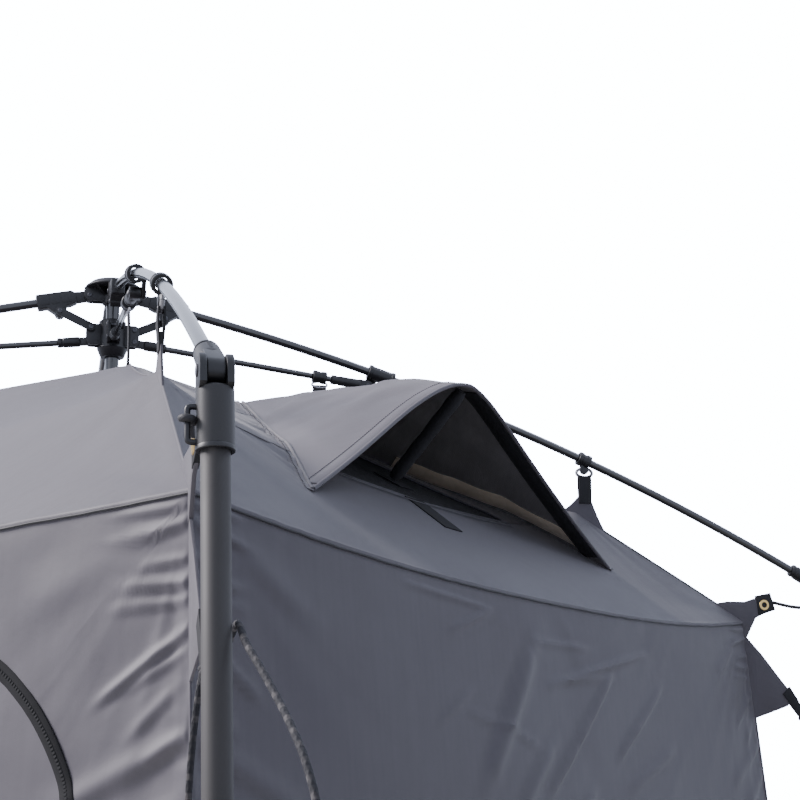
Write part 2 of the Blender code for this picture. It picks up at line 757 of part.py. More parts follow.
def peg_place(side):
    """Return where a guy line's peg stands, with the side of the leg that it is on."""
    return Vector((PEG_OUT, PEG_ASIDE * side, 0))


def make_guy_rope(side):
    """Taut line from the guy tab to its peg."""
    peg = peg_place(side)
    (low_x, low_z), (high_x, high_z) = TAB_NOSE_LOW, TAB_NOSE_HIGH
    nose = Vector(((low_x + high_x) / 2, 0, (low_z + high_z) / 2))
    outward = Vector((high_z - low_z, 0, low_x - high_x)).normalized()
    head = nose + outward * 0.78 * MM
    beside = PEG_RADIUS + GUY_RADIUS + 2 * GAP
    foot = peg + Vector((-beside, 0, PEG_HEIGHT - 12 * MM))
    return tube([head, foot], GUY_RADIUS)


def make_ground_peg(side):
    """Part of the hooked peg that stands out of the ground."""
    peg = peg_place(side)
    bend = 8 * MM
    crook = arc((0, PEG_HEIGHT - bend), bend, 0, 150, 6)
    route = [peg] + [peg + Vector((bend - x, 0, z)) for x, z in crook]
    return tube(route, PEG_RADIUS)


# Route of the near corner's loose line in the corner frame, from the tab tip out past the
# leg, down to the bottom of the loop and back up to the tip.
LOOSE_ROUTE = (
    (0.8461, 0.0022, 1.7751),
    (0.8540, 0.0092, 1.7830),
    (0.8660, 0.0118, 1.7925),
    (0.8800, 0.0122, 1.7966),
    (0.8930, 0.0122, 1.7935),
    (0.9050, 0.0132, 1.7845),
    (0.9250, 0.0183, 1.7690),
    (0.9450, 0.0229, 1.7535),
    (0.9650, 0.0262, 1.7390),
    (0.9850, 0.0293, 1.7215),
    (1.0030, 0.0318, 1.6960),
    (1.0170, 0.0333, 1.6550),
    (1.0270, 0.0340, 1.5800),
    (1.0220, 0.034, 1.4600),
    (0.9980, 0.034, 1.2800),
    (0.9700, 0.033, 1.1200),
    (0.9400, 0.031, 0.9900),
    (0.9180, 0.027, 0.9100),
    (0.8990, 0.020, 0.8850),
    (0.8850, 0.010, 0.9000),
    (0.8770, 0.000, 0.9650),
    (0.8690, -0.008, 1.0900),
    (0.8570, -0.011, 1.2800),
    (0.8470, -0.011, 1.4700),
    (0.8390, -0.010, 1.6300),
    (0.8362, -0.007, 1.7100),
    (0.8378, -0.004, 1.7500),
    (0.84151, -0.001, 1.77339),
)


def smooth_route(points, spacing):
    """Return evenly spaced points on a Catmull-Rom curve through the given ones."""
    places = [Vector(point) for point in points]
    padded = [places[0] * 2 - places[1], *places, places[-1] * 2 - places[-2]]
    dense = []
    steps = 24
    for before, first, second, after in zip(padded, padded[1:], padded[2:], padded[3:]):
        for step in range(steps):
            t = step / steps
            dense.append(
                0.5
                * (
                    first * 2
                    + (second - before) * t
                    + (before * 2 - first * 5 + second * 4 - after) * t**2
                    + (first * 3 - before - second * 3 + after) * t**3
                )
            )
    dense.append(places[-1])
    total = sum((b - a).length for a, b in zip(dense, dense[1:]))
    count = max(2, round(total / spacing))
    even, walked, target = [dense[0]], 0.0, total / count
    for a, b in zip(dense, dense[1:]):
        step = (b - a).length
        while walked + step >= target - 1e-9 and len(even) < count:
            even.append(a.lerp(b, (target - walked) / step))
            target += total / count
        walked += step
    even.append(dense[-1])
    return even


def make_loose_guy_rope():
    """Slack line that hangs in a loop from the near corner's tab."""
    return tube(smooth_route(LOOSE_ROUTE, 26 * MM), GUY_RADIUS)


class Builder:
    """Places finished pieces as named objects in the tent's collection."""

    def __init__(self):
        self.parts = bpy.data.collections.new("shower_tent")
        bpy.context.scene.collection.children.link(self.parts)
        self.axes = {}

    def corner_axis(self, corner):
        """Return the empty that turns the corner frame into place."""
        if corner not in self.axes:
            axis = bpy.data.objects.new(f"{corner}_corner", None)
            axis.rotation_euler.z = math.radians(CORNERS[corner])
            self.parts.objects.link(axis)
            self.axes[corner] = axis
        return self.axes[corner]

    def place(self, name, mesh, material, corner=None, pivot=Vector((0, 0, 0))):
        """Add a node whose origin is its pivot, in the corner's frame or the world's."""
        piece = bpy.data.objects.new(name, mesh)
        if not mesh.materials:
            mesh.materials.append(finish(material))
        piece.location = pivot
        if corner is not None:
            piece.parent = self.corner_axis(corner)
        self.parts.objects.link(piece)
        return piece


def finished_mesh(piece, pivot=Vector((0, 0, 0))):
    """Return a work piece's mesh about its pivot, shaded smooth between sharp edges."""
    mesh = evaluated_mesh(piece)
    bpy.data.objects.remove(piece)
    mesh.materials.clear()
    mesh.transform(Matrix.Translation(-pivot))
    mesh.shade_smooth()
    mesh.set_sharp_from_angle(angle=math.radians(32))
    return mesh


def build_frame(builder):
    """Hub, runner and the pieces that repeat at each corner."""
    hub = Vector((0, 0, HUB_Z))
    builder.place("upper_hub", finished_mesh(make_upper_hub(), hub), "black_plastic", pivot=hub)
    builder.place("hub_post", finished_mesh(make_hub_post(), hub), "black_rod", pivot=hub)
    builder.place("lower_hub", finished_mesh(make_lower_hub(), hub), "black_plastic", pivot=hub)
    repeated = (
        ("rib_arm", make_rib_arm, "black_plastic", RIB_PIVOT),
        ("rib_rod", make_rib_rod, "black_rod", RIB_PIVOT),
        ("rib_collar", make_rib_collar, "black_plastic", rib_point(COLLAR_AT)),
        ("stretcher", make_stretcher, "black_rod", STRETCHER_PIVOT),
        ("hub_link", make_hub_link, "black_plastic", LINK_PIVOT),
        ("knuckle", make_knuckle, "black_plastic", KNUCKLE),
        ("leg_upper", make_leg_upper, "grey_metal", KNUCKLE),
        ("leg_lower", make_leg_lower, "grey_metal", KNUCKLE + LEG_DOWN * LEG_LENGTH),
    )
    for stem, make, material, pivot in repeated:
        mesh = finished_mesh(make(), pivot)
        for corner in CORNERS:
            builder.place(f"{stem}_{corner}", mesh, material, corner, pivot)


def cut_for(piece, corner, make_cutter):
    """Cut a corner-frame piece with a block given in world axes."""
    return combined(piece, removed=[turned(make_cutter(), -CORNERS[corner])])


def build_cabin(builder):
    """Roof quarters, wall corners, door and vent."""
    for corner in CORNERS:
        roof = make_roof_quarter()
        wall = make_wall_corner()
        if corner.endswith("right"):
            roof = cut_for(roof, corner, make_vent_cutter)
        if corner.startswith("front"):
            wall = cut_for(wall, corner, make_door_cutter)
        builder.place(
            f"roof_{corner}", finished_mesh(roof, RIB_PIVOT), "grey_fabric", corner, RIB_PIVOT
        )
        builder.place(f"wall_{corner}", finished_mesh(wall, KNUCKLE), "grey_fabric", corner, KNUCKLE)
    builder.place("door_panel", finished_mesh(make_door_panel()), "grey_fabric")
    builder.place("vent_mesh", finished_mesh(make_vent_mesh()), "black_mesh")
    builder.place("vent_hood", finished_mesh(make_vent_hood()), "grey_fabric")
    builder.place("vent_prop", finished_mesh(make_vent_prop()), "black_webbing")


def build_guy_lines(builder):
    """Three pegged guy lines, and the slack one at the front right corner."""
    for corner, side in GUY_SIDES.items():
        rope = finished_mesh(make_guy_rope(side), TAB_TIP)
        builder.place(f"guy_rope_{corner}", rope, "guy_cord", corner, TAB_TIP)
        place = peg_place(side)
        peg = finished_mesh(make_ground_peg(side), place)
        builder.place(f"ground_peg_{corner}", peg, "steel", corner, place)
    loose = finished_mesh(make_loose_guy_rope(), TAB_TIP)
    builder.place("loose_guy_rope", loose, "guy_cord", "front_right", TAB_TIP)


def main():
    """Build the whole tent."""
    clear_scene()
    builder = Builder()
    build_frame(builder)
    build_cabin(builder)
    build_guy_lines(builder)


main()
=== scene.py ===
"""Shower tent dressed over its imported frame.

World axes are the frame's: +Z up, -Y the front wall with the door, +X the right wall under the
roof vent. Pieces that repeat at the four corners are shaped once in a corner frame, where x runs
outward along the cabin's diagonal, y sideways and z up. Fabric is shaped side by side in a side
frame, where x points out of the wall, y along it and z up.
"""

from __future__ import annotations

import logging
import math
from dataclasses import dataclass, field
from enum import Enum
from typing import Callable, Iterable, Optional, Sequence

import bmesh
import bpy
import numpy as np
from mathutils import Matrix, Vector

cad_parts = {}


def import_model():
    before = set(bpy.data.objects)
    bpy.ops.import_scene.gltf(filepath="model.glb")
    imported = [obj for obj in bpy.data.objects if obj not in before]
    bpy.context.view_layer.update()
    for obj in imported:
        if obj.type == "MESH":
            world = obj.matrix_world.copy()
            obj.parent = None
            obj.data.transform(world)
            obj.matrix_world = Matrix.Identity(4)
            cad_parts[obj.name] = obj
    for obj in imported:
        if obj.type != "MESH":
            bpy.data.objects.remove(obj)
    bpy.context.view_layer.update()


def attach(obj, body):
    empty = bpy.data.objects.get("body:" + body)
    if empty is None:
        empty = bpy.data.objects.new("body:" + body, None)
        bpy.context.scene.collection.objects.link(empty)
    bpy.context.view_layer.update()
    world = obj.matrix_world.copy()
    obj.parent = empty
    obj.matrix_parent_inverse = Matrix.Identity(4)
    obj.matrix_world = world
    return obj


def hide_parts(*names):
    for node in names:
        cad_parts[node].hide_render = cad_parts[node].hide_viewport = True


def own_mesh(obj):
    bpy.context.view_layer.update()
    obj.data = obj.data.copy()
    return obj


LOG = logging.getLogger("shower_tent")

MM = 0.001
HUB_Z = 2.250
KNUCKLE_HALF = 0.620
KNUCKLE_Z = 1.935
EAVE_HALF = 0.543
EAVE_CORNER_Z = 1.885
EAVE_MIDDLE_Z = 1.868
SPLAY = 0.069
HEM_Z = 0.015
NOISE_CELLS = 64

Point = Sequence[float]


class Corner(Enum):
    """Corner of the cabin, with the azimuth of its diagonal in degrees."""

    FRONT_RIGHT = -45.0
    BACK_RIGHT = 45.0
    BACK_LEFT = 135.0
    FRONT_LEFT = 225.0

    @property
    def label(self) -> str:
        """Name used for nodes and bodies."""
        return self.name.lower()

    @property
    def turn(self) -> Matrix:
        """Turn from the corner frame to the world."""
        return Matrix.Rotation(math.radians(self.value), 4, "Z")


class Side(Enum):
    """Wall of the cabin, with the azimuth that it faces in degrees."""

    FRONT = -90.0
    RIGHT = 0.0
    BACK = 90.0
    LEFT = 180.0

    @property
    def label(self) -> str:
        """Name used for pieces."""
        return self.name.lower()

    @property
    def turn(self) -> Matrix:
        """Turn from the side frame to the world."""
        return Matrix.Rotation(math.radians(self.value), 4, "Z")

    def corner(self, hand: int) -> Corner:
        """Return the corner at one end of this side.

        Args:
            hand: -1 for the end at negative y of the side frame, +1 for the other.

        Returns:
            The corner there.
        """
        azimuth = (self.value + 45.0 * hand) % 360.0
        return next(c for c in Corner if abs((c.value - azimuth) % 360.0) < 1.0)


def unit(vector: Point) -> np.ndarray:
    """Return the vector at length one."""
    array = np.asarray(vector, float)
    return array / np.linalg.norm(array)


def shift(x: float = 0.0, y: float = 0.0, z: float = 0.0) -> np.ndarray:
    """Return a step along the three axes, given in millimetres."""
    return np.array((x, y, z), float) * MM


def mm(*pairs: tuple[float, float]) -> list[tuple[float, float]]:
    """Return outline or profile points that are given in millimetres."""
    return [(first * MM, second * MM) for first, second in pairs]


def rectangle(half_width: float, half_height: float) -> list[tuple[float, float]]:
    """Return a rectangular profile, given in millimetres."""
    w, h = half_width, half_height
    return mm((-w, -h), (w, -h), (w, h), (-w, h))


# The umbrella frame's geometry in the corner frame
RIB_PIVOT = np.array((0.026, 0.0, HUB_Z))
KNUCKLE = np.array((KNUCKLE_HALF * math.sqrt(2), 0.0, KNUCKLE_Z))
RIB_LENGTH = float(np.linalg.norm(KNUCKLE - RIB_PIVOT))
RIB_ALONG = unit(KNUCKLE - RIB_PIVOT)
RIB_OVER = np.array((-RIB_ALONG[2], 0.0, RIB_ALONG[0]))
RIB_BOW = 34.5 * MM
LEG_DOWN = unit((SPLAY * math.sqrt(2), 0.0, -1.0))
LEG_LENGTH = KNUCKLE_Z / -LEG_DOWN[2]
SIDEWAYS = np.array((0.0, 1.0, 0.0))
LUG_PIVOT = np.array((58 * MM, 0.0, HUB_Z - 22 * MM))
LINK_PIVOT = np.array((24 * MM, 0.0, HUB_Z - 38 * MM))
STRETCHER_PIVOT = np.array((24 * MM, 0.0, HUB_Z - 52 * MM))
COLLAR_AT = 0.293
CLIP_AT = RIB_LENGTH * 0.62
STRETCHER_CLIP_AT = 0.215
TAB_TIP = np.array((0.833, 0.0, 1.796))


def rib_point(along: float) -> np.ndarray:
    """Return the bowed rib's centre at a distance along its chord."""
    share = along / RIB_LENGTH
    return RIB_PIVOT + RIB_ALONG * along + RIB_OVER * (4 * RIB_BOW * share * (1 - share))


def rib_direction(along: float) -> np.ndarray:
    """Return the rib's direction at a distance along its chord."""
    slope = 4 * RIB_BOW / RIB_LENGTH * (1 - 2 * along / RIB_LENGTH)
    return unit(RIB_ALONG + RIB_OVER * slope)


def square_to(direction: Point) -> np.ndarray:
    """Return the direction square to a given one in the corner's upright plane, upward."""
    return np.array((-direction[2], 0.0, direction[0]))


def stretcher_outer_pivot() -> np.ndarray:
    """Return the pivot where a stretcher hangs from its collar."""
    aim = rib_direction(COLLAR_AT)
    return rib_point(COLLAR_AT) - aim * 12 * MM - square_to(aim) * 17 * MM


def soft_noise(u: np.ndarray, v: np.ndarray, seed: int) -> np.ndarray:
    """Return smooth noise of two coordinates, about one bump per unit.

    Args:
        u: First coordinate.
        v: Second coordinate.
        seed: Seed of the random values.

    Returns:
        Values between -1 and 1.
    """
    size = NOISE_CELLS
    values = np.random.default_rng(seed).uniform(-1.0, 1.0, (size, size))
    left, low = np.floor(u).astype(int), np.floor(v).astype(int)
    a, b = u - left, v - low
    a, b = a * a * (3 - 2 * a), b * b * (3 - 2 * b)
    west, east, south, north = left % size, (left + 1) % size, low % size, (low + 1) % size
    near = values[west, south] * (1 - a) + values[east, south] * a
    far = values[west, north] * (1 - a) + values[east, north] * a
    return near * (1 - b) + far * b


def smooth_step(value: np.ndarray, low: float, high: float) -> np.ndarray:
    """Return 0 below low, 1 above high and a smooth rise between."""
    share = np.clip((value - low) / (high - low), 0.0, 1.0)
    return share * share * (3 - 2 * share)


def frames_along(path: np.ndarray, up: Optional[Point] = None) -> tuple[np.ndarray, np.ndarray]:
    """Return two directions square to a path at each of its points.

    Args:
        path: Points of the path.
        up: Direction that the first one keeps to; without it the frame is carried along.

    Returns:
        The first and second directions, one row a point.
    """
    tangents = np.gradient(path, axis=0)
    tangents /= np.linalg.norm(tangents, axis=1)[:, None]
    firsts = np.empty_like(path)
    guide = np.asarray(up if up is not None else (0.0, 1.0, 0.0), float)
    if up is None and abs(np.dot(guide, tangents[0])) > 0.9:
        guide = np.array((1.0, 0.0, 0.0))
    for i, tangent in enumerate(tangents):
        square = guide - tangent * np.dot(guide, tangent)
        firsts[i] = square / np.linalg.norm(square)
        if up is None:
            guide = firsts[i]
    return firsts, np.cross(tangents, firsts)


def arc(centre: Point, radius: float, start: float, end: float, steps: int = 8) -> list[tuple]:
    """Return points on an arc in a flat outline's plane, with its angles in degrees."""
    angles = np.radians(np.linspace(start, end, steps + 1))
    return [(centre[0] + radius * math.cos(a), centre[1] + radius * math.sin(a)) for a in angles]


def capsule(first: Point, second: Point, radius: float, steps: int) -> list[tuple]:
    """Return the (x, z) outline of a bar with round ends at two points in the upright plane.

    Args:
        first: Middle of one round end.
        second: Middle of the other.
        radius: Radius of the round ends.
        steps: Number of spans along each round end.

    Returns:
        Points of the outline.
    """
    heading = math.degrees(math.atan2(second[2] - first[2], second[0] - first[0]))
    far = arc((second[0], second[2]), radius, heading - 90, heading + 90, steps)
    return far + arc((first[0], first[2]), radius, heading + 90, heading + 270, steps)


def smooth_path(points: Iterable[Point], spacing: float) -> np.ndarray:
    """Return evenly spaced points on a Catmull-Rom curve through the given ones.

    Args:
        points: Points that the curve passes through.
        spacing: Distance between the points returned.

    Returns:
        One row a point.
    """
    given = np.array(list(points), float)
    padded = np.vstack((2 * given[0] - given[1], given, 2 * given[-1] - given[-2]))
    t = np.linspace(0, 1, 25)[:-1, None]
    runs = []
    for before, first, second, after in zip(padded, padded[1:], padded[2:], padded[3:]):
        runs.append(
            0.5
            * (
                first * 2
                + (second - before) * t
                + (before * 2 - first * 5 + second * 4 - after) * t**2
                + (first * 3 - before - second * 3 + after) * t**3
            )
        )
    dense = np.vstack((*runs, given[-1]))
    walked = np.concatenate(((0.0,), np.cumsum(np.linalg.norm(np.diff(dense, axis=0), axis=1))))
    count = max(2, round(walked[-1] / spacing))
    wanted = np.linspace(0, walked[-1], count + 1)
    return np.stack([np.interp(wanted, walked, dense[:, axis]) for axis in range(3)], axis=1)


@dataclass
class Shape:
    """Gathers the surfaces of one piece before they become a mesh."""

    points: list[np.ndarray] = field(default_factory=list)
    faces: list[tuple[int, ...]] = field(default_factory=list)
    coords: list[list[tuple[float, float]]] = field(default_factory=list)
    slots: list[int] = field(default_factory=list)
    count: int = 0

    def add(
        self, points: np.ndarray, faces: Iterable[Sequence[int]], coords: Optional[np.ndarray] = None,
        slot: int = 0,
    ) -> None:
        """Add a surface.

        Args:
            points: One row a vertex.
            faces: Vertex numbers of each face, from 0.
            coords: Texture coordinates of each vertex.
            slot: Number of the material slot.
        """
        for face in faces:
            self.faces.append(tuple(i + self.count for i in face))
            self.slots.append(slot)
            if coords is None:
                self.coords.append([(points[i][0], points[i][2]) for i in face])
            else:
                self.coords.append([tuple(coords[i]) for i in face])
        self.points.append(np.asarray(points, float))
        self.count += len(points)

    def loft(
        self, rings: Sequence[np.ndarray], caps: bool = True, closed: bool = False, slot: int = 0
    ) -> None:
        """Skin closed rings that have equal numbers of points.

        Args:
            rings: Rings in order.
            caps: Whether the first and last ring are filled.
            closed: Whether the last ring joins the first.
            slot: Number of the material slot.
        """
        sides = len(rings[0])
        steps = [np.linalg.norm(b.mean(0) - a.mean(0)) for a, b in zip(rings, rings[1:])]
        lengths = np.concatenate(((0.0,), np.cumsum(steps)))
        girth = np.linalg.norm(np.roll(rings[0], -1, axis=0) - rings[0], axis=1)
        round_way = np.concatenate(((0.0,), np.cumsum(girth)))[:-1]
        coords = [(s, length) for length in lengths for s in round_way]
        faces = []
        for r in range(len(rings) if closed else len(rings) - 1):
            low, high = r * sides, ((r + 1) % len(rings)) * sides
            for s in range(sides):
                t = (s + 1) % sides
                faces.append((low + s, low + t, high + t, high + s))
        if caps and not closed:
            faces.append(tuple(range(sides - 1, -1, -1)))
            faces.append(tuple((len(rings) - 1) * sides + s for s in range(sides)))
        self.add(np.vstack(rings), faces, np.array(coords), slot)

    def sweep(
        self, path: Sequence[Point], profile: Sequence[tuple[float, float]], up: Optional[Point] = None,
        scales: Optional[Sequence[float]] = None, slot: int = 0,
    ) -> None:
        """Sweep a closed profile along a path.

        Args:
            path: Points of the path.
            profile: Outline across the path, as distances along its two square directions.
            up: Direction that the profile's first axis keeps to.
            scales: Size of the profile at each point of the path.
            slot: Number of the material slot.
        """
        line = np.array(path, float)
        first, second = frames_along(line, up)
        sizes = np.ones(len(line)) if scales is None else np.asarray(scales, float)
        outline = np.array(profile, float)
        rings = [
            line[i] + sizes[i] * (outline[:, :1] * first[i] + outline[:, 1:] * second[i])
            for i in range(len(line))
        ]
        self.loft(rings, slot=slot)

    def tube(self, path: Sequence[Point], radius: float, sides: int = 16, slot: int = 0) -> None:
        """Sweep a circle along a path.

        Args:
            path: Points of the path.
            radius: Radius of the circle.
            sides: Number of sides that stand in for the circle.
            slot: Number of the material slot.
        """
        angles = np.linspace(0, 2 * math.pi, sides, endpoint=False)
        profile = [(radius * math.cos(a), radius * math.sin(a)) for a in angles]
        self.sweep(path, profile, slot=slot)

    def turned(
        self, base: Point, axis: Point, profile: Sequence[tuple[float, float]], sides: int = 32,
        slot: int = 0,
    ) -> None:
        """Revolve a profile about an axis.

        Args:
            base: Point on the axis that heights count from.
            axis: Direction of the axis.
            profile: Pairs of height and radius; a closed profile makes a ring.
            sides: Points round the axis.
            slot: Number of the material slot.
        """
        direction = unit(axis)
        guide = (1.0, 0.0, 0.0) if abs(direction[0]) < 0.9 else (0.0, 1.0, 0.0)
        first = unit(np.cross(direction, guide))
        second = np.cross(direction, first)
        angles = np.linspace(0, 2 * math.pi, sides, endpoint=False)
        around = np.cos(angles)[:, None] * first + np.sin(angles)[:, None] * second
        closed = profile[0] == profile[-1]
        rings = [
            np.asarray(base, float) + direction * height + around * radius
            for height, radius in (profile[:-1] if closed else profile)
        ]
        if not closed and profile[0][0] > profile[-1][0]:
            rings.reverse()
        self.loft(rings, caps=not closed, closed=closed, slot=slot)

    def rod(
        self, start: Point, end: Point, radius: float, end_radius: Optional[float] = None,
        edge: float = 0.6 * MM, sides: int = 24, slot: int = 0,
    ) -> None:
        """Add a round bar with eased edges.

        Args:
            start: Centre of the first end.
            end: Centre of the last end.
            radius: Radius at the start.
            end_radius: Radius at the end, where it differs.
            edge: Size of the eased edges.
            sides: Points round the bar.
            slot: Number of the material slot.
        """
        last = radius if end_radius is None else end_radius
        base, tip = np.asarray(start, float), np.asarray(end, float)
        height = float(np.linalg.norm(tip - base))
        eased = 0.3 * edge
        profile = [
            (0.0, radius - edge), (eased, radius - eased), (edge, radius),
            (height - edge, last), (height - eased, last - eased), (height, last - edge),
        ]
        self.turned(base, tip - base, profile, sides, slot)

    def slab(
        self, outline: Sequence[tuple[float, float]], low: float, high: float, edge: float = 0.0,
        slot: int = 0,
    ) -> None:
        """Add an outline of (x, z) points as thick as y = low to high, with eased edges.

        Args:
            outline: Points in the upright plane.
            low: Lower y.
            high: Higher y.
            edge: How far the faces are set in to ease the edges.
            slot: Number of the material slot.
        """
        flat = np.array(outline, float)
        before, after = np.roll(flat, 1, axis=0), np.roll(flat, -1, axis=0)
        area = float(np.sum(flat[:, 0] * after[:, 1] - after[:, 0] * flat[:, 1]))
        if area < 0:
            flat = flat[::-1]
            before, after = np.roll(flat, 1, axis=0), np.roll(flat, -1, axis=0)
        span = after - before
        inward = np.stack((-span[:, 1], span[:, 0]), axis=1)
        inward /= np.maximum(np.linalg.norm(inward, axis=1), 1e-9)[:, None]

        def ring(inset: float, y: float) -> np.ndarray:
            """Return the outline at one y, set in from its edge."""
            placed = flat + inward * inset
            return np.stack((placed[:, 0], np.full(len(flat), y), placed[:, 1]), axis=1)

        rings = [ring(0.0, high), ring(0.0, low)]
        if edge > 0:
            eased = 0.3 * edge
            rings = [
                ring(edge, high), ring(eased, high - eased), ring(0.0, high - edge),
                ring(0.0, low + edge), ring(eased, low + eased), ring(edge, low),
            ]
        self.loft(rings, slot=slot)

    def plate(
        self, outline: Sequence[tuple[float, float]], half: float, edge: float = 0.0, slot: int = 0
    ) -> None:
        """Add a slab centred on y = 0, with half its thickness and its edge in millimetres."""
        self.slab(outline, -half * MM, half * MM, edge * MM, slot)

    def cloth(
        self, points: np.ndarray, coords: np.ndarray, thickness: float, slot: int = 0,
        inner_slot: Optional[int] = None,
    ) -> None:
        """Add a grid of points as a closed thin sheet, with its outer face where the grid is.

        Args:
            points: Grid of points, rows by columns by 3.
            coords: Texture coordinates in metres, rows by columns by 2.
            thickness: Thickness of the sheet.
            slot: Material slot of the outer face.
            inner_slot: Material slot of the inner face, where it differs.
        """
        rows, columns = points.shape[:2]
        normals = np.cross(np.gradient(points, axis=1), np.gradient(points, axis=0))
        normals /= np.maximum(np.linalg.norm(normals, axis=2), 1e-12)[:, :, None]
        inner = points - normals * thickness
        count = rows * columns
        both = np.vstack((points.reshape(-1, 3), inner.reshape(-1, 3)))
        place = np.vstack((coords.reshape(-1, 2), coords.reshape(-1, 2)))
        outer_faces, inner_faces = [], []
        for r in range(rows - 1):
            for c in range(columns - 1):
                a, b = r * columns + c, r * columns + c + 1
                d, e = a + columns, b + columns
                outer_faces.append((a, b, e, d))
                inner_faces.append((count + d, count + e, count + b, count + a))
        edge = (
            [(0, c) for c in range(columns)]
            + [(r, columns - 1) for r in range(1, rows)]
            + [(rows - 1, c) for c in range(columns - 2, -1, -1)]
            + [(r, 0) for r in range(rows - 2, 0, -1)]
        )
        loop = [r * columns + c for r, c in edge]
        rim = [(b, a, count + a, count + b) for a, b in zip(loop, loop[1:] + loop[:1])]
        start = self.count
        self.add(both, outer_faces + rim, place, slot)
        self.faces.extend(tuple(i + start for i in face) for face in inner_faces)
        self.coords.extend([tuple(place[i]) for i in face] for face in inner_faces)
        self.slots.extend([slot if inner_slot is None else inner_slot] * len(inner_faces))

    def take(self, other: "Shape", slot: int = 0) -> None:
        """Add another shape's surfaces to this one, in one material slot.

        Args:
            other: Shape whose surfaces are added.
            slot: Number of the material slot.
        """
        start = self.count
        self.points.extend(other.points)
        self.count += other.count
        self.faces.extend(tuple(i + start for i in face) for face in other.faces)
        self.coords.extend(other.coords)
        self.slots.extend([slot] * len(other.faces))

    def placed(self, matrix: Matrix) -> "Shape":
        """Return the same surfaces, moved by a matrix.

        Args:
            matrix: Matrix of the move.

        Returns:
            A new shape.
        """
        turn = np.array(matrix)
        points = [p @ turn[:3, :3].T + turn[:3, 3] for p in self.points]
        return Shape(points, list(self.faces), list(self.coords), list(self.slots), self.count)

    def mesh(self, name: str, smooth_angle: float = 35.0) -> bpy.types.Mesh:
        """Return the gathered surfaces as a mesh shaded smooth between sharp edges.

        Args:
            name: Name of the mesh.
            smooth_angle: Angle in degrees over which an edge stays sharp.

        Returns:
            The mesh, with its texture coordinates in the layer "cloth".
        """
        mesh = bpy.data.meshes.new(name)
        mesh.from_pydata(np.vstack(self.points).tolist(), [], self.faces)
        layer = mesh.uv_layers.new(name="cloth")
        layer.uv.foreach_set("vector", np.array([c for f in self.coords for c in f]).ravel())
        mesh.polygons.foreach_set("material_index", self.slots)
        work = bmesh.new()
        work.from_mesh(mesh)
        bmesh.ops.recalc_face_normals(work, faces=work.faces)
        work.to_mesh(mesh)
        work.free()
        mesh.shade_smooth()
        mesh.set_sharp_from_angle(angle=math.radians(smooth_angle))
        mesh.update()
        return mesh


@dataclass
class Graph:
    """Small helper that adds nodes to a tree and links them."""

    tree: bpy.types.NodeTree

    def node(self, kind: str, inputs: Optional[dict] = None, **settings: object) -> bpy.types.Node:
        """Add a node.

        Args:
            kind: Blender's name of the node type.
            inputs: Socket names with a value or an output socket to link from.
            settings: Properties of the node.

        Returns:
            The node.
        """
        made = self.tree.nodes.new(kind)
        for name, value in settings.items():
            setattr(made, name, value)
        self.fill(made, inputs or {})
        return made

    def fill(self, made: bpy.types.Node, inputs: dict) -> None:
        """Set or link several inputs of a node by name."""
        for name, value in inputs.items():
            self.feed(made.inputs[name], value)

    def feed(self, socket: bpy.types.NodeSocket, value: object) -> None:
        """Link a socket from an output, or set its value.

        Args:
            socket: Input socket.
            value: Output socket or plain value.
        """
        if isinstance(value, bpy.types.NodeSocket):
            self.tree.links.new(value, socket)
        else:
            socket.default_value = value

    def math(
        self, operation: str, first: object, second: object = 0.0, third: object = 0.0
    ) -> bpy.types.NodeSocket:
        """Add a math node and return its output.

        Args:
            operation: Operation of the node.
            first: Output or number for its first input.
            second: The same for its second.
            third: The same for its third.

        Returns:
            Output of the node.
        """
        made = self.node("ShaderNodeMath", operation=operation)
        for socket, value in zip(made.inputs, (first, second, third)):
            self.feed(socket, value)
        return made.outputs[0]

    def remap(
        self, value: object, low: float, high: float, to_low: float, to_high: float
    ) -> bpy.types.NodeSocket:
        """Map a value from one range to another, clamped, and return the output.

        Args:
            value: Output or number to map.
            low: Low end of the range it comes from.
            high: High end of that range.
            to_low: Low end of the range it goes to.
            to_high: High end of that range.

        Returns:
            Output of the node.
        """
        return self.node(
            "ShaderNodeMapRange",
            {"Value": value, "From Min": low, "From Max": high, "To Min": to_low, "To Max": to_high},
        ).outputs["Result"]

    def blend(self, share: object, first: object, second: object) -> bpy.types.NodeSocket:
        """Mix two colours and return the output.

        Args:
            share: Output or number for the second colour's share.
            first: Colour at share 0.
            second: Colour at share 1.

        Returns:
            Output of the node.
        """
        made = self.node("ShaderNodeMix", data_type="RGBA")
        for index, value in ((0, share), (6, first), (7, second)):
            self.feed(made.inputs[index], value)
        return made.outputs[2]

    def noise(self, vector: object, scale: float, detail: float = 2.0) -> bpy.types.NodeSocket:
        """Add a noise texture and return its value.

        Args:
            vector: Output with the coordinates.
            scale: Scale of the noise.
            detail: Detail of the noise.

        Returns:
            Output of the node.
        """
        return self.node(
            "ShaderNodeTexNoise", {"Vector": vector, "Scale": scale, "Detail": detail}
        ).outputs["Fac"]

    def bump(
        self, height: object, strength: float, distance: float, **more: object
    ) -> bpy.types.NodeSocket:
        """Add a bump node and return its normal."""
        inputs = {"Height": height, "Strength": strength, "Distance": distance, **more}
        return self.node("ShaderNodeBump", inputs).outputs[0]

    def cloth_place(self) -> bpy.types.NodeSocket:
        """Return the piece's own texture coordinates, in metres."""
        return self.node("ShaderNodeUVMap", uv_map="cloth").outputs["UV"]


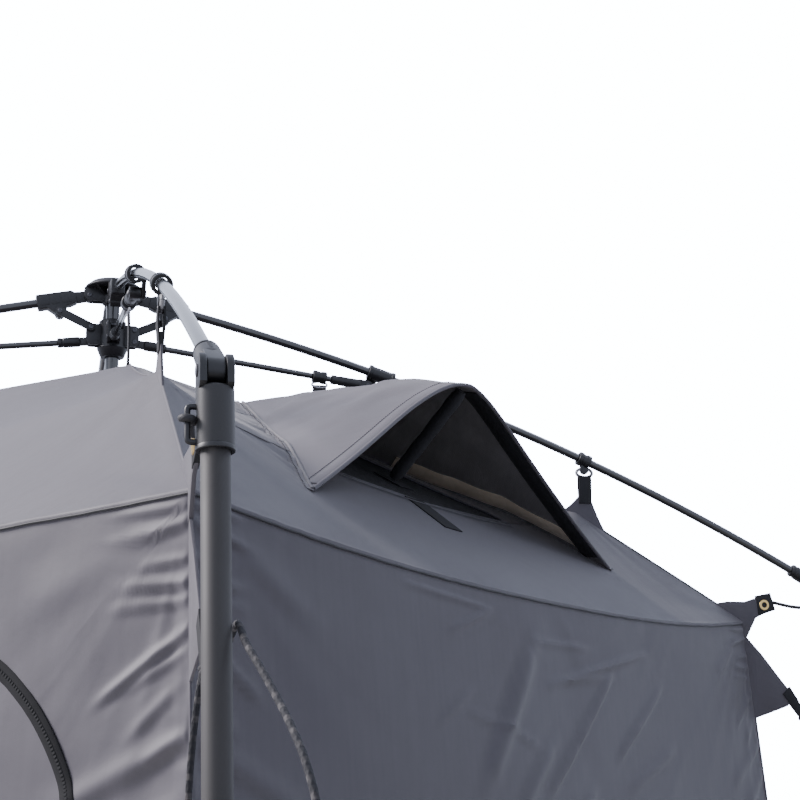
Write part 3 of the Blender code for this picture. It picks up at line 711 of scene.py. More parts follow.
class Effects:
    """Shader node groups that several finishes share, built once each."""

    @staticmethod
    def group(name: str, inputs: dict, outputs: dict, fill: Callable) -> bpy.types.NodeTree:
        """Return a named node group, built on first use.

        Args:
            name: Name of the group.
            inputs: Socket names with (type, default) pairs; a default may be None.
            outputs: Socket names with types.
            fill: Function of the graph, group input and group output that fills the group.

        Returns:
            The group.
        """
        found = bpy.data.node_groups.get(name)
        if found is not None:
            return found
        tree = bpy.data.node_groups.new(name, "ShaderNodeTree")
        for label, (kind, default) in inputs.items():
            socket = tree.interface.new_socket(label, in_out="INPUT", socket_type=kind)
            if default is not None:
                socket.default_value = default
        for label, kind in outputs.items():
            tree.interface.new_socket(label, in_out="OUTPUT", socket_type=kind)
        start = tree.nodes.new("NodeGroupInput")
        end = tree.nodes.new("NodeGroupOutput")
        fill(Graph(tree), start, end)
        return tree

    @classmethod
    def weave(cls) -> bpy.types.NodeTree:
        """Plain weave: threads that pass over and under each other; its second output is painted shade,
        darker where a thread dips under its neighbour.

        Returns:
            Node group.
        """

        def fill(graph: Graph, start: bpy.types.Node, end: bpy.types.Node) -> None:
            """Add the group's nodes between its input and output.

            Args:
                graph: The group's graph.
                start: The group's input node.
                end: Its output node.
            """
            parts = graph.node("ShaderNodeSeparateXYZ", {"Vector": start.outputs["Vector"]})
            rate = graph.math("DIVIDE", math.pi, start.outputs["Pitch"])
            waves = [
                graph.math("SINE", graph.math("MULTIPLY", parts.outputs[axis], rate))
                for axis in ("X", "Y")
            ]
            checker = graph.math("MULTIPLY", waves[0], waves[1])
            over = graph.remap(checker, -1.0, 1.0, 0.0, 1.0)
            slub = graph.noise(start.outputs["Vector"], 900.0, 1.0)
            height = graph.math("ADD", over, graph.math("MULTIPLY", slub, 0.5))
            # Painted shade: the threads' low points come out darker in the colour
            graph.fill(end, {"Height": height, "Threads": over})

        return cls.group(
            "cloth_weave",
            {"Vector": ("NodeSocketVector", None), "Pitch": ("NodeSocketFloat", 0.0005)},
            {"Height": "NodeSocketFloat", "Threads": "NodeSocketFloat"},
            fill,
        )

    @classmethod
    def handling(cls) -> bpy.types.NodeTree:
        """Dust, rubbed patches and small pits from use.

        Returns:
            Node group.
        """

        def fill(graph: Graph, start: bpy.types.Node, end: bpy.types.Node) -> None:
            """Add the group's nodes between its input and output.

            Args:
                graph: The group's graph.
                start: The group's input node.
                end: Its output node.
            """
            vector = start.outputs["Vector"]
            cloud = graph.noise(vector, 14.0, 4.0)
            speck = graph.noise(vector, 420.0, 2.0)
            clouded = graph.remap(cloud, 0.45, 0.75, 0.0, 1.0)
            dust = graph.math("MULTIPLY", clouded, graph.remap(speck, 0.4, 0.7, 0.2, 1.0))
            graph.fill(end, {
                "Dust": graph.math("MULTIPLY", dust, start.outputs["Amount"]),
                "Rub": graph.remap(cloud, 0.3, 0.7, -1.0, 1.0),
                "Grain": graph.noise(vector, 1500.0, 2.0),
            })

        return cls.group(
            "handling_marks",
            {"Vector": ("NodeSocketVector", None), "Amount": ("NodeSocketFloat", 0.3)},
            {"Dust": "NodeSocketFloat", "Rub": "NodeSocketFloat", "Grain": "NodeSocketFloat"},
            fill,
        )


@dataclass(frozen=True)
class Finish:
    """Hard finish: colour, gloss, moulding grain and marks of use."""

    name: str
    colour: tuple[float, float, float]
    roughness: float = 0.45
    metallic: float = 0.0
    coat: float = 0.0
    grain: float = 0.08
    dust: float = 0.25
    dust_colour: tuple[float, float, float] = (0.30, 0.29, 0.28)

    def start(self) -> tuple[bpy.types.Material, Graph, bpy.types.Node]:
        """Return an empty material, its graph and its shader.

        Returns:
            Material, graph and shader node.
        """
        material = bpy.data.materials.new(self.name)
        material.use_nodes = True
        material.node_tree.nodes.clear()
        graph = Graph(material.node_tree)
        shader = graph.node("ShaderNodeBsdfPrincipled")
        graph.node("ShaderNodeOutputMaterial", {"Surface": shader.outputs[0]})
        return material, graph, shader

    def material(self) -> bpy.types.Material:
        """Return the finish's material, built on first use."""
        found = bpy.data.materials.get(self.name)
        return found if found is not None else self.build()

    def build(self) -> bpy.types.Material:
        """Build the material.

        Returns:
            The material.
        """
        material, graph, shader = self.start()
        place = graph.node("ShaderNodeTexCoord").outputs["Object"]
        inputs = {"Vector": place, "Amount": self.dust}
        marks = graph.node("ShaderNodeGroup", inputs, node_tree=Effects.handling()).outputs
        rough = graph.math("MULTIPLY_ADD", marks["Rub"], 0.05, self.roughness)
        graph.fill(shader, {
            "Base Color": graph.blend(marks["Dust"], (*self.colour, 1.0), (*self.dust_colour, 1.0)),
            "Roughness": graph.math("MULTIPLY_ADD", marks["Dust"], 0.5, rough),
            "Normal": graph.bump(marks["Grain"], self.grain, 0.3 * MM),
            "Metallic": self.metallic, "Coat Weight": self.coat, "Coat Roughness": 0.12,
        })
        return material


@dataclass(frozen=True)
class WovenFinish(Finish):
    """Coated woven cloth, with threads, painted shade between the threads, faint colour change and a soft
    sheen.
    """

    pitch: float = 0.55 * MM
    depth: float = 0.35
    sheen: float = 0.25
    uneven: float = 0.08

    def build(self) -> bpy.types.Material:
        """Build the material.

        Returns:
            The material.
        """
        material, graph, shader = self.start()
        place = graph.cloth_place()
        inputs = {"Vector": place, "Pitch": self.pitch}
        weave = graph.node("ShaderNodeGroup", inputs, node_tree=Effects.weave()).outputs
        cloud = graph.noise(place, 5.0, 3.0)
        streak = graph.node("ShaderNodeMapping", {"Vector": place, "Scale": (140.0, 6.0, 1.0)})
        thread = graph.noise(streak.outputs[0], 1.0, 2.0)
        # Painted shade: darker where a thread dips under, then random tone and streaks on top
        weave_shade_and_tone = graph.math("MULTIPLY_ADD", weave["Threads"], 0.16, 0.90)
        weave_shade_and_tone = graph.math("ADD", weave_shade_and_tone, graph.remap(cloud, 0.3, 0.7, -self.uneven, self.uneven))
        weave_shade_and_tone = graph.math("ADD", weave_shade_and_tone, graph.remap(thread, 0.3, 0.7, -0.03, 0.03))
        colour = graph.node("ShaderNodeMix", data_type="RGBA", blend_type="MULTIPLY")
        colour.inputs[0].default_value = 1.0
        tint = graph.node("ShaderNodeCombineColor", {"Red": weave_shade_and_tone, "Green": weave_shade_and_tone, "Blue": weave_shade_and_tone})
        graph.feed(colour.inputs[6], (*self.colour, 1.0))
        graph.feed(colour.inputs[7], tint.outputs[0])
        coarse = graph.bump(graph.noise(place, 38.0, 4.0), 0.10, 4 * MM)
        low, high = self.roughness - 0.05, self.roughness + 0.05
        graph.fill(shader, {
            "Base Color": colour.outputs[2],
            "Roughness": graph.remap(cloud, 0.3, 0.7, low, high),
            "Normal": graph.bump(weave["Height"], self.depth, 0.12 * MM, Normal=coarse),
            "Sheen Weight": self.sheen, "Sheen Roughness": 0.4,
        })
        return material


@dataclass(frozen=True)
class NetFinish(Finish):
    """Insect net: fine black threads with holes between them."""

    pitch: float = 1.6 * MM

    def build(self) -> bpy.types.Material:
        """Build the material.

        Returns:
            The material.
        """
        material, graph, shader = self.start()
        parts = graph.node("ShaderNodeSeparateXYZ", {"Vector": graph.cloth_place()})
        threads = []
        for axis in ("X", "Y"):
            share = graph.math("FRACT", graph.math("DIVIDE", parts.outputs[axis], self.pitch))
            far = graph.math("ABSOLUTE", graph.math("SUBTRACT", share, 0.5))
            threads.append(graph.remap(far, 0.18, 0.26, 1.0, 0.0))
        cover = graph.math("MAXIMUM", threads[0], threads[1])
        graph.fill(shader, {
            "Alpha": graph.math("MULTIPLY_ADD", cover, 0.45, 0.55),
            "Normal": graph.bump(cover, 0.6, 0.3 * MM),
            "Base Color": (*self.colour, 1.0), "Roughness": self.roughness,
        })
        return material


@dataclass(frozen=True)
class CordFinish(Finish):
    """Braided line with light flecks woven in along it."""

    radius: float = 2 * MM
    fleck: float = 10.5 * MM
    fleck_colour: tuple[float, float, float] = (0.115, 0.110, 0.115)

    def build(self) -> bpy.types.Material:
        """Build the material.

        Returns:
            The material.
        """
        material, graph, shader = self.start()
        parts = graph.node("ShaderNodeSeparateXYZ", {"Vector": graph.cloth_place()})
        around = graph.math("DIVIDE", parts.outputs["X"], self.radius)
        along = parts.outputs["Y"]
        braid = []
        for way in (1.0, -1.0):
            start = graph.math("MULTIPLY", around, 4.0)
            turn = graph.math("MULTIPLY_ADD", along, way * 1100.0, start)
            braid.append(graph.math("SINE", turn))
        height = graph.math("MAXIMUM", braid[0], braid[1])
        share = graph.math("FRACT", graph.math("DIVIDE", along, self.fleck))
        apart = graph.math("ABSOLUTE", graph.math("SUBTRACT", share, 0.5))
        ring = graph.remap(apart, 0.12, 0.22, 1.0, 0.0)
        swirl = graph.math("SINE", graph.math("MULTIPLY_ADD", along, 90.0, around))
        mask = graph.math("MULTIPLY", ring, graph.remap(swirl, -0.7, 0.1, 0.2, 1.0))
        graph.fill(shader, {
            "Base Color": graph.blend(mask, (*self.colour, 1.0), (*self.fleck_colour, 1.0)),
            "Roughness": self.roughness,
            "Normal": graph.bump(height, 0.5, 0.25 * MM),
        })
        return material


BLACK_PLASTIC = Finish("black moulded plastic", (0.013, 0.013, 0.015), 0.42, dust=0.05)
DARK_METAL = Finish(
    "blackened screw", (0.09, 0.09, 0.10), 0.42, metallic=0.6, grain=0.05, dust=0.05
)
SLEEVE_PLASTIC = Finish("dark grey sleeve plastic", (0.024, 0.023, 0.024), 0.46, dust=0.05)
GLASS_FIBRE = Finish(
    "black glass-fibre rod", (0.014, 0.014, 0.017), 0.16, coat=1.0, grain=0.04, dust=0.05
)
LEG_TUBE = Finish("grey coated tube", (0.062, 0.059, 0.059), 0.60, grain=0.05, dust=0.05)
STEEL = Finish("plated steel", (0.56, 0.56, 0.58), 0.28, metallic=1.0, grain=0.05, dust=0.15)
BRASS = Finish("brass eyelet", (0.62, 0.44, 0.18), 0.30, metallic=1.0, grain=0.04, dust=0.08)
BUCKLE = Finish("pale buckle bar", (0.58, 0.59, 0.62), 0.35, grain=0.03, dust=0.05)
RUBBER = Finish("black rubber foot", (0.022, 0.022, 0.022), 0.75, grain=0.25, dust=0.35)
CABIN_CLOTH = WovenFinish("grey cabin cloth", (0.152, 0.143, 0.166), 0.60)
HOOD_CLOTH = WovenFinish("grey hood cloth", (0.190, 0.178, 0.203), 0.60, depth=0.45)
LINING_CLOTH = WovenFinish("silvered cloth lining", (0.26, 0.25, 0.25), 0.50, sheen=0.1)
# Seam tape whose pale beige is painted light shining through the hood's cloth
TAPE_WITH_PAINTED_LIGHT_THROUGH = WovenFinish("pale seam tape", (0.80, 0.69, 0.54), 0.60, pitch=0.8 * MM)
PIPING = WovenFinish("grey seam piping", (0.23, 0.22, 0.24), 0.60, pitch=0.6 * MM)
WEBBING = WovenFinish(
    "black webbing", (0.012, 0.012, 0.014), 0.80, pitch=1.3 * MM, depth=0.8, sheen=0.03, uneven=0.02
)
ZIP_TAPE = WovenFinish(
    "black zip tape", (0.007, 0.007, 0.008), 0.90, pitch=0.7 * MM, sheen=0.0, uneven=0.02
)
ZIP_TEETH = Finish("black zip teeth", (0.009, 0.009, 0.010), 0.80, dust=0.0)
ELASTIC = WovenFinish(
    "dark elastic cord", (0.022, 0.022, 0.025), 0.65, pitch=0.9 * MM, depth=0.8, sheen=0.05
)
HOOK_PATCH = Finish("hook-and-loop patch", (0.003, 0.003, 0.004), 1.0, grain=0.4, dust=0.0)
THREAD = Finish("grey thread", (0.26, 0.26, 0.28), 0.60, grain=0.2, dust=0.0)
# Dark thread for real stitches, also used as a painted shadow line under the roof's lip
DARK_THREAD_AND_SHADOW_LINE = Finish("dark thread", (0.055, 0.055, 0.060), 0.60, grain=0.2, dust=0.0)
NET = NetFinish("black insect net", (0.010, 0.010, 0.011), 0.85)
GUY_LINE = CordFinish("flecked guy line", (0.026, 0.026, 0.031), 0.80)


@dataclass(frozen=True)
class Fold:
    """How a soft piece gathers when the frame folds."""

    axis: tuple[float, float, float]
    anchor: tuple[float, float, float]
    keep: float


@dataclass(frozen=True)
class Cut:
    """Flat size that a sheet of cloth is cut to."""

    width: float
    length: float
    area: float

    @classmethod
    def of(cls, points: np.ndarray, turned: float = 0.0) -> "Cut":
        """Measure the flat cut of a grid of points.

        Args:
            points: Outer face of the cloth, rows by columns by 3.
            turned: Area of its hems and flanges.

        Returns:
            The cut.
        """
        across = np.linalg.norm(np.diff(points, axis=1), axis=2).sum(axis=1).max()
        down = np.linalg.norm(np.diff(points, axis=0), axis=2).sum(axis=0).max()
        first = points[1:, 1:] - points[:-1, :-1]
        second = points[1:, :-1] - points[:-1, 1:]
        area = 0.5 * np.linalg.norm(np.cross(first, second), axis=2).sum() + turned
        return cls(float(across), float(down), float(min(area, across * down)))


def settle(
    name: str, shape: Shape, finishes: Sequence[Finish], body: str, nodes: Sequence[str],
    fold: Optional[Fold] = None, smooth_angle: float = 35.0, cut: Optional[Cut] = None,
) -> bpy.types.Object:
    """Make a finished piece, hang it on its body and hide the nodes that it stands for.

    Args:
        name: Name of the piece.
        shape: Its surfaces, in the world.
        finishes: Finish of each material slot.
        body: Body that it rides on.
        nodes: Nodes that it stands for.
        fold: How a soft piece would gather when the frame folds; its axis and anchor are read and the
            piece gets a mesh of its own, but it is not folded.
        smooth_angle: Angle in degrees over which an edge stays sharp.
        cut: Flat size of the cloth, on a sheet that the frame stretches. Not used.

    Returns:
        The piece.
    """
    piece = bpy.data.objects.new(name, shape.mesh(name, smooth_angle))
    bpy.context.scene.collection.objects.link(piece)
    for finish in finishes:
        piece.data.materials.append(finish.material())
    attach(piece, body)
    if nodes:
        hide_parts(*nodes)
    if fold is not None:
        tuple(fold.axis)
        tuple(fold.anchor)
        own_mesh(piece)
    LOG.info("%s: %d faces on %s", name, len(piece.data.polygons), body)
    return piece


def world_axis(turn: Matrix, vector: Point) -> tuple[float, float, float]:
    """Return a direction or a point of a corner or side frame in world axes."""
    return tuple(turn @ Vector(tuple(float(v) for v in vector)))


def rib_fold(corner: Corner, hand: int, steep: float, anchor: Point, keep: float) -> Fold:
    """Return how roof cloth gathers sideways towards a rib.

    Args:
        corner: Corner of the rib.
        hand: Which side of the rib the cloth is on, -1 or 1.
        steep: Sine of the slope along which it gathers.
        anchor: Point that stays in place, in the corner frame.
        keep: Share of the cloth's width that is left.

    Returns:
        The fold.
    """
    across = np.array((0.0, -hand * math.sqrt(1 - steep**2), 0.0)) - RIB_OVER * steep
    return Fold(world_axis(corner.turn, across), world_axis(corner.turn, anchor), keep)


def pleat(wave: np.ndarray) -> np.ndarray:
    """Sharpen the crests of a smooth wave into folds."""
    return 0.5 - 1.6 * (np.sqrt(wave**2 + 0.03) - 0.17)


@dataclass(frozen=True)
class Crease:
    """One fold of the cloth, between two points of a panel's own plane."""

    start: tuple[float, float]
    end: tuple[float, float]
    width: float
    height: float

    def lift(self, first: np.ndarray, second: np.ndarray) -> np.ndarray:
        """Return how far the fold lifts the cloth at points of the plane.

        Args:
            first: First coordinate of the points.
            second: Second coordinate of the points.

        Returns:
            Height of the lift at each point.
        """
        run, rise = self.end[0] - self.start[0], self.end[1] - self.start[1]
        length = math.hypot(run, rise)
        run, rise = run / length, rise / length
        along = (first - self.start[0]) * run + (second - self.start[1]) * rise
        share = np.clip(along / length, 0.0, 1.0)
        past = (along - share * length) / (2 * self.width)
        aside = ((second - self.start[1]) * run - (first - self.start[0]) * rise) / self.width
        crest = np.exp(-(aside**2) - past**2) * (1 - 1.3 * aside)
        return self.height * crest * (0.35 + 0.65 * np.sin(math.pi * share) ** 0.5)


def creases(*rows: tuple[float, ...]) -> tuple[Crease, ...]:
    """Return creases from rows of start, end, width and height, the last two in millimetres."""
    return tuple(Crease(row[:2], row[2:4], row[4] * MM, row[5] * MM) for row in rows)


# Folds at a corner of a wall: distance from the corner seam, then height
CORNER_CREASES = creases(
    (0.048, 1.876, 0.0, 1.879, 3.6, 1.6), (0.054, 1.858, 0.0, 1.868, 4.2, 2.2),
    (0.038, 1.843, 0.0, 1.845, 3.6, 1.6), (0.052, 1.831, 0.0, 1.830, 3.9, 2.1),
    (0.058, 1.818, 0.0, 1.819, 3.6, 1.4), (0.068, 1.763, 0.003, 1.801, 4.2, 2.5),
    (0.048, 1.768, 0.005, 1.788, 4.0, 1.2), (0.044, 1.741, 0.013, 1.765, 5.0, 1.4),
    (0.036, 1.722, 0.005, 1.738, 5.5, 1.9), (0.110, 1.690, 0.010, 1.735, 9.0, 2.2),
    (0.105, 1.640, 0.006, 1.700, 9.0, 2.4), (0.090, 1.600, 0.004, 1.640, 8.0, 1.6),
    (0.120, 1.818, 0.050, 1.852, 11.0, 1.6),
)
# Folds across the middle of a wall: distance along it, then height
WALL_CREASES = creases(
    (-0.044, 1.792, 0.190, 1.831, 4.5, 1.7), (-0.011, 1.795, 0.096, 1.803, 3.2, 0.9),
    (0.094, 1.798, 0.012, 1.743, 5.5, 2.1), (0.018, 1.748, -0.061, 1.696, 5.5, 2.3),
    (0.230, 1.792, 0.150, 1.749, 5.5, 1.8), (0.156, 1.753, 0.103, 1.725, 5.0, 1.9),
    (0.249, 1.728, 0.128, 1.693, 5.5, 1.5), (-0.201, 1.763, -0.141, 1.754, 2.8, 0.9),
    (-0.146, 1.755, -0.075, 1.735, 2.8, 1.0), (-0.252, 1.756, -0.198, 1.780, 3.2, 0.9),
    (-0.178, 1.717, -0.084, 1.819, 13.0, 2.6), (-0.123, 1.691, -0.058, 1.737, 9.0, 1.8),
    (-0.284, 1.858, -0.154, 1.850, 3.4, 0.9), (-0.220, 1.828, -0.154, 1.848, 3.4, 0.9),
    (-0.066, 1.828, 0.041, 1.828, 3.6, 0.9), (0.020, 1.680, -0.120, 1.560, 9.0, 3.0),
    (0.190, 1.640, 0.050, 1.540, 9.0, 2.6), (-0.180, 1.620, -0.290, 1.480, 10.0, 3.0),
)


@dataclass
class CabinForm:
    """Heights, widths and wrinkles of the cabin's cloth."""

    roof_levels: tuple[tuple[float, float, float], ...] = (
        (0.000, 2.095, 2.095),
        (0.187, 2.101, 2.103),
        (0.391, 2.018, 1.985),
        (EAVE_HALF, EAVE_CORNER_Z, EAVE_MIDDLE_Z),
    )
    hip_sag: tuple[float, float, float] = (2 * MM, 5 * MM, 0.0)
    strap_levels: tuple[float, float] = (0.187, 0.391)
    strap_lift: float = 1.5 * MM
    corner_rise: float = 6 * MM
    middle_rise: tuple[float, ...] = (8 * MM, -1 * MM, 3 * MM, 3 * MM)
    broad: float = 3.2 * MM
    fan: float = 1.2 * MM
    diagonal: float = 1.6 * MM
    pucker: float = 0.9 * MM
    levels: np.ndarray = field(init=False)
    hip: np.ndarray = field(init=False)
    middle: np.ndarray = field(init=False)

    def __post_init__(self) -> None:
        """Tabulate the roof's section on the hip and at the middle of a side."""
        nodes = np.array(self.roof_levels)
        self.levels = np.linspace(0.0, EAVE_HALF, 320)
        self.hip = np.interp(self.levels, nodes[:, 0], nodes[:, 1])
        for low, high, sag in zip(nodes[:, 0], nodes[1:, 0], self.hip_sag):
            t = np.clip((self.levels - low) / (high - low), 0.0, 1.0)
            self.hip -= sag * 4 * t * (1 - t)
        wide = np.interp(self.levels, nodes[:, 0], nodes[:, 2])
        reach = 14
        kernel = np.hanning(2 * reach + 1)
        kernel /= kernel.sum()
        before = np.full(reach, wide[0])
        after = wide[-1] + (wide[-1] - wide[-reach - 1 : -1][::-1])
        self.middle = np.convolve(np.concatenate((before, wide, after)), kernel, "valid")
        self.middle += (wide[-1] - self.middle[-1]) * self.levels / EAVE_HALF

    def half(self, z: np.ndarray) -> np.ndarray:
        """Return the cabin's half width at a height."""
        return EAVE_HALF + SPLAY * (EAVE_CORNER_Z - z)

    def roof_base(self, out: np.ndarray, along: np.ndarray) -> np.ndarray:
        """Return the roof's height without its folds.

        Args:
            out: Distance out from the middle, square to the side's wall.
            along: Distance along the side's wall.

        Returns:
            Heights.
        """
        out, along = np.abs(out), np.abs(along)
        level = np.maximum(out, along)
        share = np.minimum(out, along) / np.maximum(level, 1e-9)
        hip = np.interp(level, self.levels, self.hip)
        middle = np.interp(level, self.levels, self.middle)
        height = middle + (hip - middle) * share**2.4
        for strap in self.strap_levels:
            apart = np.hypot(out - strap, along - strap)
            height = height + self.strap_lift * np.exp(-apart / (20 * MM))
        return height

    def hip_height(self, level: float) -> float:
        """Return the roof's height on the hip, at a distance out from the middle of the tent."""
        return float(self.roof_base(np.float64(level), np.float64(level)))

    def roof(self, out: np.ndarray, along: np.ndarray, seed: int) -> np.ndarray:
        """Return the roof's height with its folds.

        Args:
            out: Distance out from the middle, square to the side's wall.
            along: Distance along the side's wall.
            seed: Number of the side.

        Returns:
            Heights.
        """
        height = self.roof_base(out, along)
        reach = np.abs(along)
        spread = smooth_step(out, self.strap_levels[1] - 0.06, EAVE_HALF)
        height = height + self.eave_rise(reach / np.maximum(out, 1e-6), seed) * spread
        hip_gap = (out - reach) * math.sqrt(0.5)
        calm = smooth_step(hip_gap, 0.0, 14 * MM)
        for index, strap in enumerate(self.strap_levels):
            apart = np.hypot(out - strap, reach - strap)
            angle = np.arctan2(out - strap, strap - reach)
            ridge = soft_noise(angle * 3.4 + 9 * index, np.sign(along) * 3.3 + 7.5, 20 + seed)
            fade = np.exp(-apart / 0.075) * calm
            height = height + 2.4 * MM * ridge * fade * smooth_step(apart, 0, 0.02)
        eave_gap = EAVE_HALF - out
        corner = np.hypot(eave_gap, EAVE_HALF - reach)
        angle = np.arctan2(eave_gap, EAVE_HALF - reach)
        fan = soft_noise(angle * 5.2 + 3.0, np.sign(along) * 2.2 + 5.5, 31 + seed)
        height = height + 2.2 * MM * fan * np.exp(-corner / 0.12) * calm * smooth_step(eave_gap, 0, 0.03)
        cloud = soft_noise(out / 0.12 + 3, along / 0.16 + 9, 41 + seed)
        height = height + 1.3 * MM * cloud * calm * smooth_step(eave_gap, 0, 0.05)
        if seed == 1:
            height = height + self.hood_gathers(out, reach) * calm
        seam = soft_noise(along / 0.013 + 5, out * 0 + 0.5, 47 + seed)
        return height + 0.35 * MM * seam * np.exp(-eave_gap / 0.018) * calm

    def hood_gathers(self, out: np.ndarray, reach: np.ndarray) -> np.ndarray:
        """Return the small gathers outside the seam of the hood's side.

        Args:
            out: Distance out from the middle, square to the side's wall.
            reach: Distance along the side's wall from its middle, without its sign.

        Returns:
            Heights of the gathers.
        """
        low, high = np.array((0.187, 0.008)), np.array((0.469, 0.298))
        way = (high - low) / np.linalg.norm(high - low)
        along = (out - low[0]) * way[0] + (reach - low[1]) * way[1]
        aside = (reach - low[1]) * way[0] - (out - low[0]) * way[1]
        held = smooth_step(aside, 0.0, 12 * MM) * np.exp(-np.maximum(aside, 0.0) / 0.022)
        ends = smooth_step(along, 0.02, 0.10) * (1 - smooth_step(along, 0.36, 0.44))
        return 5.0 * MM * soft_noise(along / 0.0075, aside / 0.06 + 3, 45) * held * ends

    def eave_rise(self, share: np.ndarray, seed: int) -> np.ndarray:
        """Return how far a side's eave is pulled up at a share of the way to its corner."""
        weight = np.clip(np.abs(share), 0.0, 1.0) ** 3
        return self.corner_rise * weight + self.middle_rise[seed] * (1 - weight)

    def wall_top(self, share: np.ndarray, seed: int) -> np.ndarray:
        """Return the height of a wall's upper edge at a share of the way to its corner."""
        level = EAVE_MIDDLE_Z + (EAVE_CORNER_Z - EAVE_MIDDLE_Z) * np.abs(share) ** 2
        return level + self.eave_rise(share, seed) - 1.2 * MM

    def wall(self, along: np.ndarray, z: np.ndarray, seed: int) -> np.ndarray:
        """Return how far out a wall stands, with its folds.

        Args:
            along: Distance along the wall from its middle.
            z: Height.
            seed: Number of the side.

        Returns:
            Distances from the middle of the tent.
        """
        half = self.half(z)
        reach = np.abs(along)
        edge = np.maximum(half - reach, 0.0)
        share = reach / half
        drop = np.maximum(self.wall_top(share, seed) - z, 0.0)
        calm = smooth_step(edge, 0.0, 16 * MM)
        hung = smooth_step(drop, 0.0, 30 * MM)
        hem = smooth_step(z, HEM_Z, 0.25)
        out = self.broad * soft_noise(along / 0.30 + 4, z / 0.42 + 2, 51 + seed) * calm * hung
        out += 5 * MM * soft_noise(along / 0.20 + 1, z / 0.60 + 6, 57 + seed) * calm * (1 - hem)
        apart = np.hypot(edge, drop)
        angle = np.arctan2(drop, np.maximum(edge, 1e-6))
        hand = np.sign(along) * 3.1 + 8.0
        fan = pleat(soft_noise(angle * 5.0 + 2.0, hand, 61 + seed))
        out += self.fan * fan * np.exp(-apart / 0.20) * smooth_step(apart, 20 * MM, 0.12) * calm
        finer = pleat(soft_noise(angle * 11.0 + 7.0, hand, 67 + seed))
        out += 0.35 * self.fan * finer * np.exp(-apart / 0.24) * smooth_step(apart, 60 * MM, 0.20) * calm
        tug = pleat(soft_noise(edge / 0.038 + 4.0, z / 0.30 + hand, 69 + seed))
        out += 0.45 * self.fan * tug * np.exp(-edge / 0.075) * smooth_step(edge, 0.0, 30 * MM) * hung
        for lean, weight, start in ((0.62, 1.0, 0.0), (-0.9, 0.6, 17.0)):
            cross = along * math.cos(lean) + z * math.sin(lean)
            run = -along * math.sin(lean) + z * math.cos(lean)
            crease = pleat(soft_noise(cross / 0.034 + start, run / 0.22 + start, 71 + seed))
            patch = smooth_step(soft_noise(along / 0.22 + start, z / 0.25, 79 + seed), 0.05, 0.6)
            out += self.diagonal * weight * crease * patch * calm * hung
        lower = 0.0 if seed < 2 else 0.021 * seed
        snug = smooth_step(edge, 0.0, 4 * MM) * smooth_step(drop, 0.0, 5 * MM)
        for crease in CORNER_CREASES:
            out += crease.lift(edge, z + lower * np.sign(along)) * snug
        if seed > 0:
            across = along if seed == 1 else -along
            for crease in WALL_CREASES:
                out += 1.7 * crease.lift(across, z + lower) * snug
        pull = soft_noise(z / 0.008 + 3, np.sign(along) * 2.0 + 6.5, 83 + seed)
        out += self.pucker * pull * np.exp(-edge / 0.012) * snug
        gather = soft_noise(along / 0.017 + 3, z * 0 + 2.5, 89 + seed)
        out += 0.5 * self.pucker * gather * np.exp(-drop / 0.016) * calm
        return half + out


FORM = CabinForm()


def along_grid(points: np.ndarray) -> np.ndarray:
    """Return texture coordinates that follow a grid of points at its real size.

    Args:
        points: Rows and columns of points.

    Returns:
        One pair of coordinates a point.
    """
    across = np.linalg.norm(np.diff(points, axis=1), axis=2)
    down = np.linalg.norm(np.diff(points, axis=0), axis=2)
    u = np.concatenate((np.zeros((points.shape[0], 1)), np.cumsum(across, axis=1)), axis=1)
    v = np.concatenate((np.zeros((1, points.shape[1])), np.cumsum(down, axis=0)), axis=0)
    return np.stack((u, v), axis=2)


def band(
    shape: Shape, path: np.ndarray, outward: np.ndarray, width: float, thickness: float,
    slot: int = 0,
) -> None:
    """Add a flat band that lies along a path.

    Args:
        shape: Shape to add to.
        path: Middle of the band's underside, one row a point.
        outward: Direction that the band faces at each point.
        width: Width of the band.
        thickness: Thickness of the band.
        slot: Material slot.
    """
    tangent = np.gradient(path, axis=0)
    tangent /= np.linalg.norm(tangent, axis=1)[:, None]
    side = np.cross(outward, tangent)
    side /= np.linalg.norm(side, axis=1)[:, None]
    up = np.cross(tangent, side)
    half, edge = width / 2, min(thickness * 0.45, 0.6 * MM)
    profile = (
        (-half, 0.0), (half, 0.0), (half, thickness - edge), (half - edge, thickness),
        (0.0, thickness), (edge - half, thickness), (-half, thickness - edge),
    )
    rings = [
        np.array([path[i] + side[i] * a + up[i] * b for a, b in profile]) for i in range(len(path))
    ]
    shape.loft(rings, slot=slot)


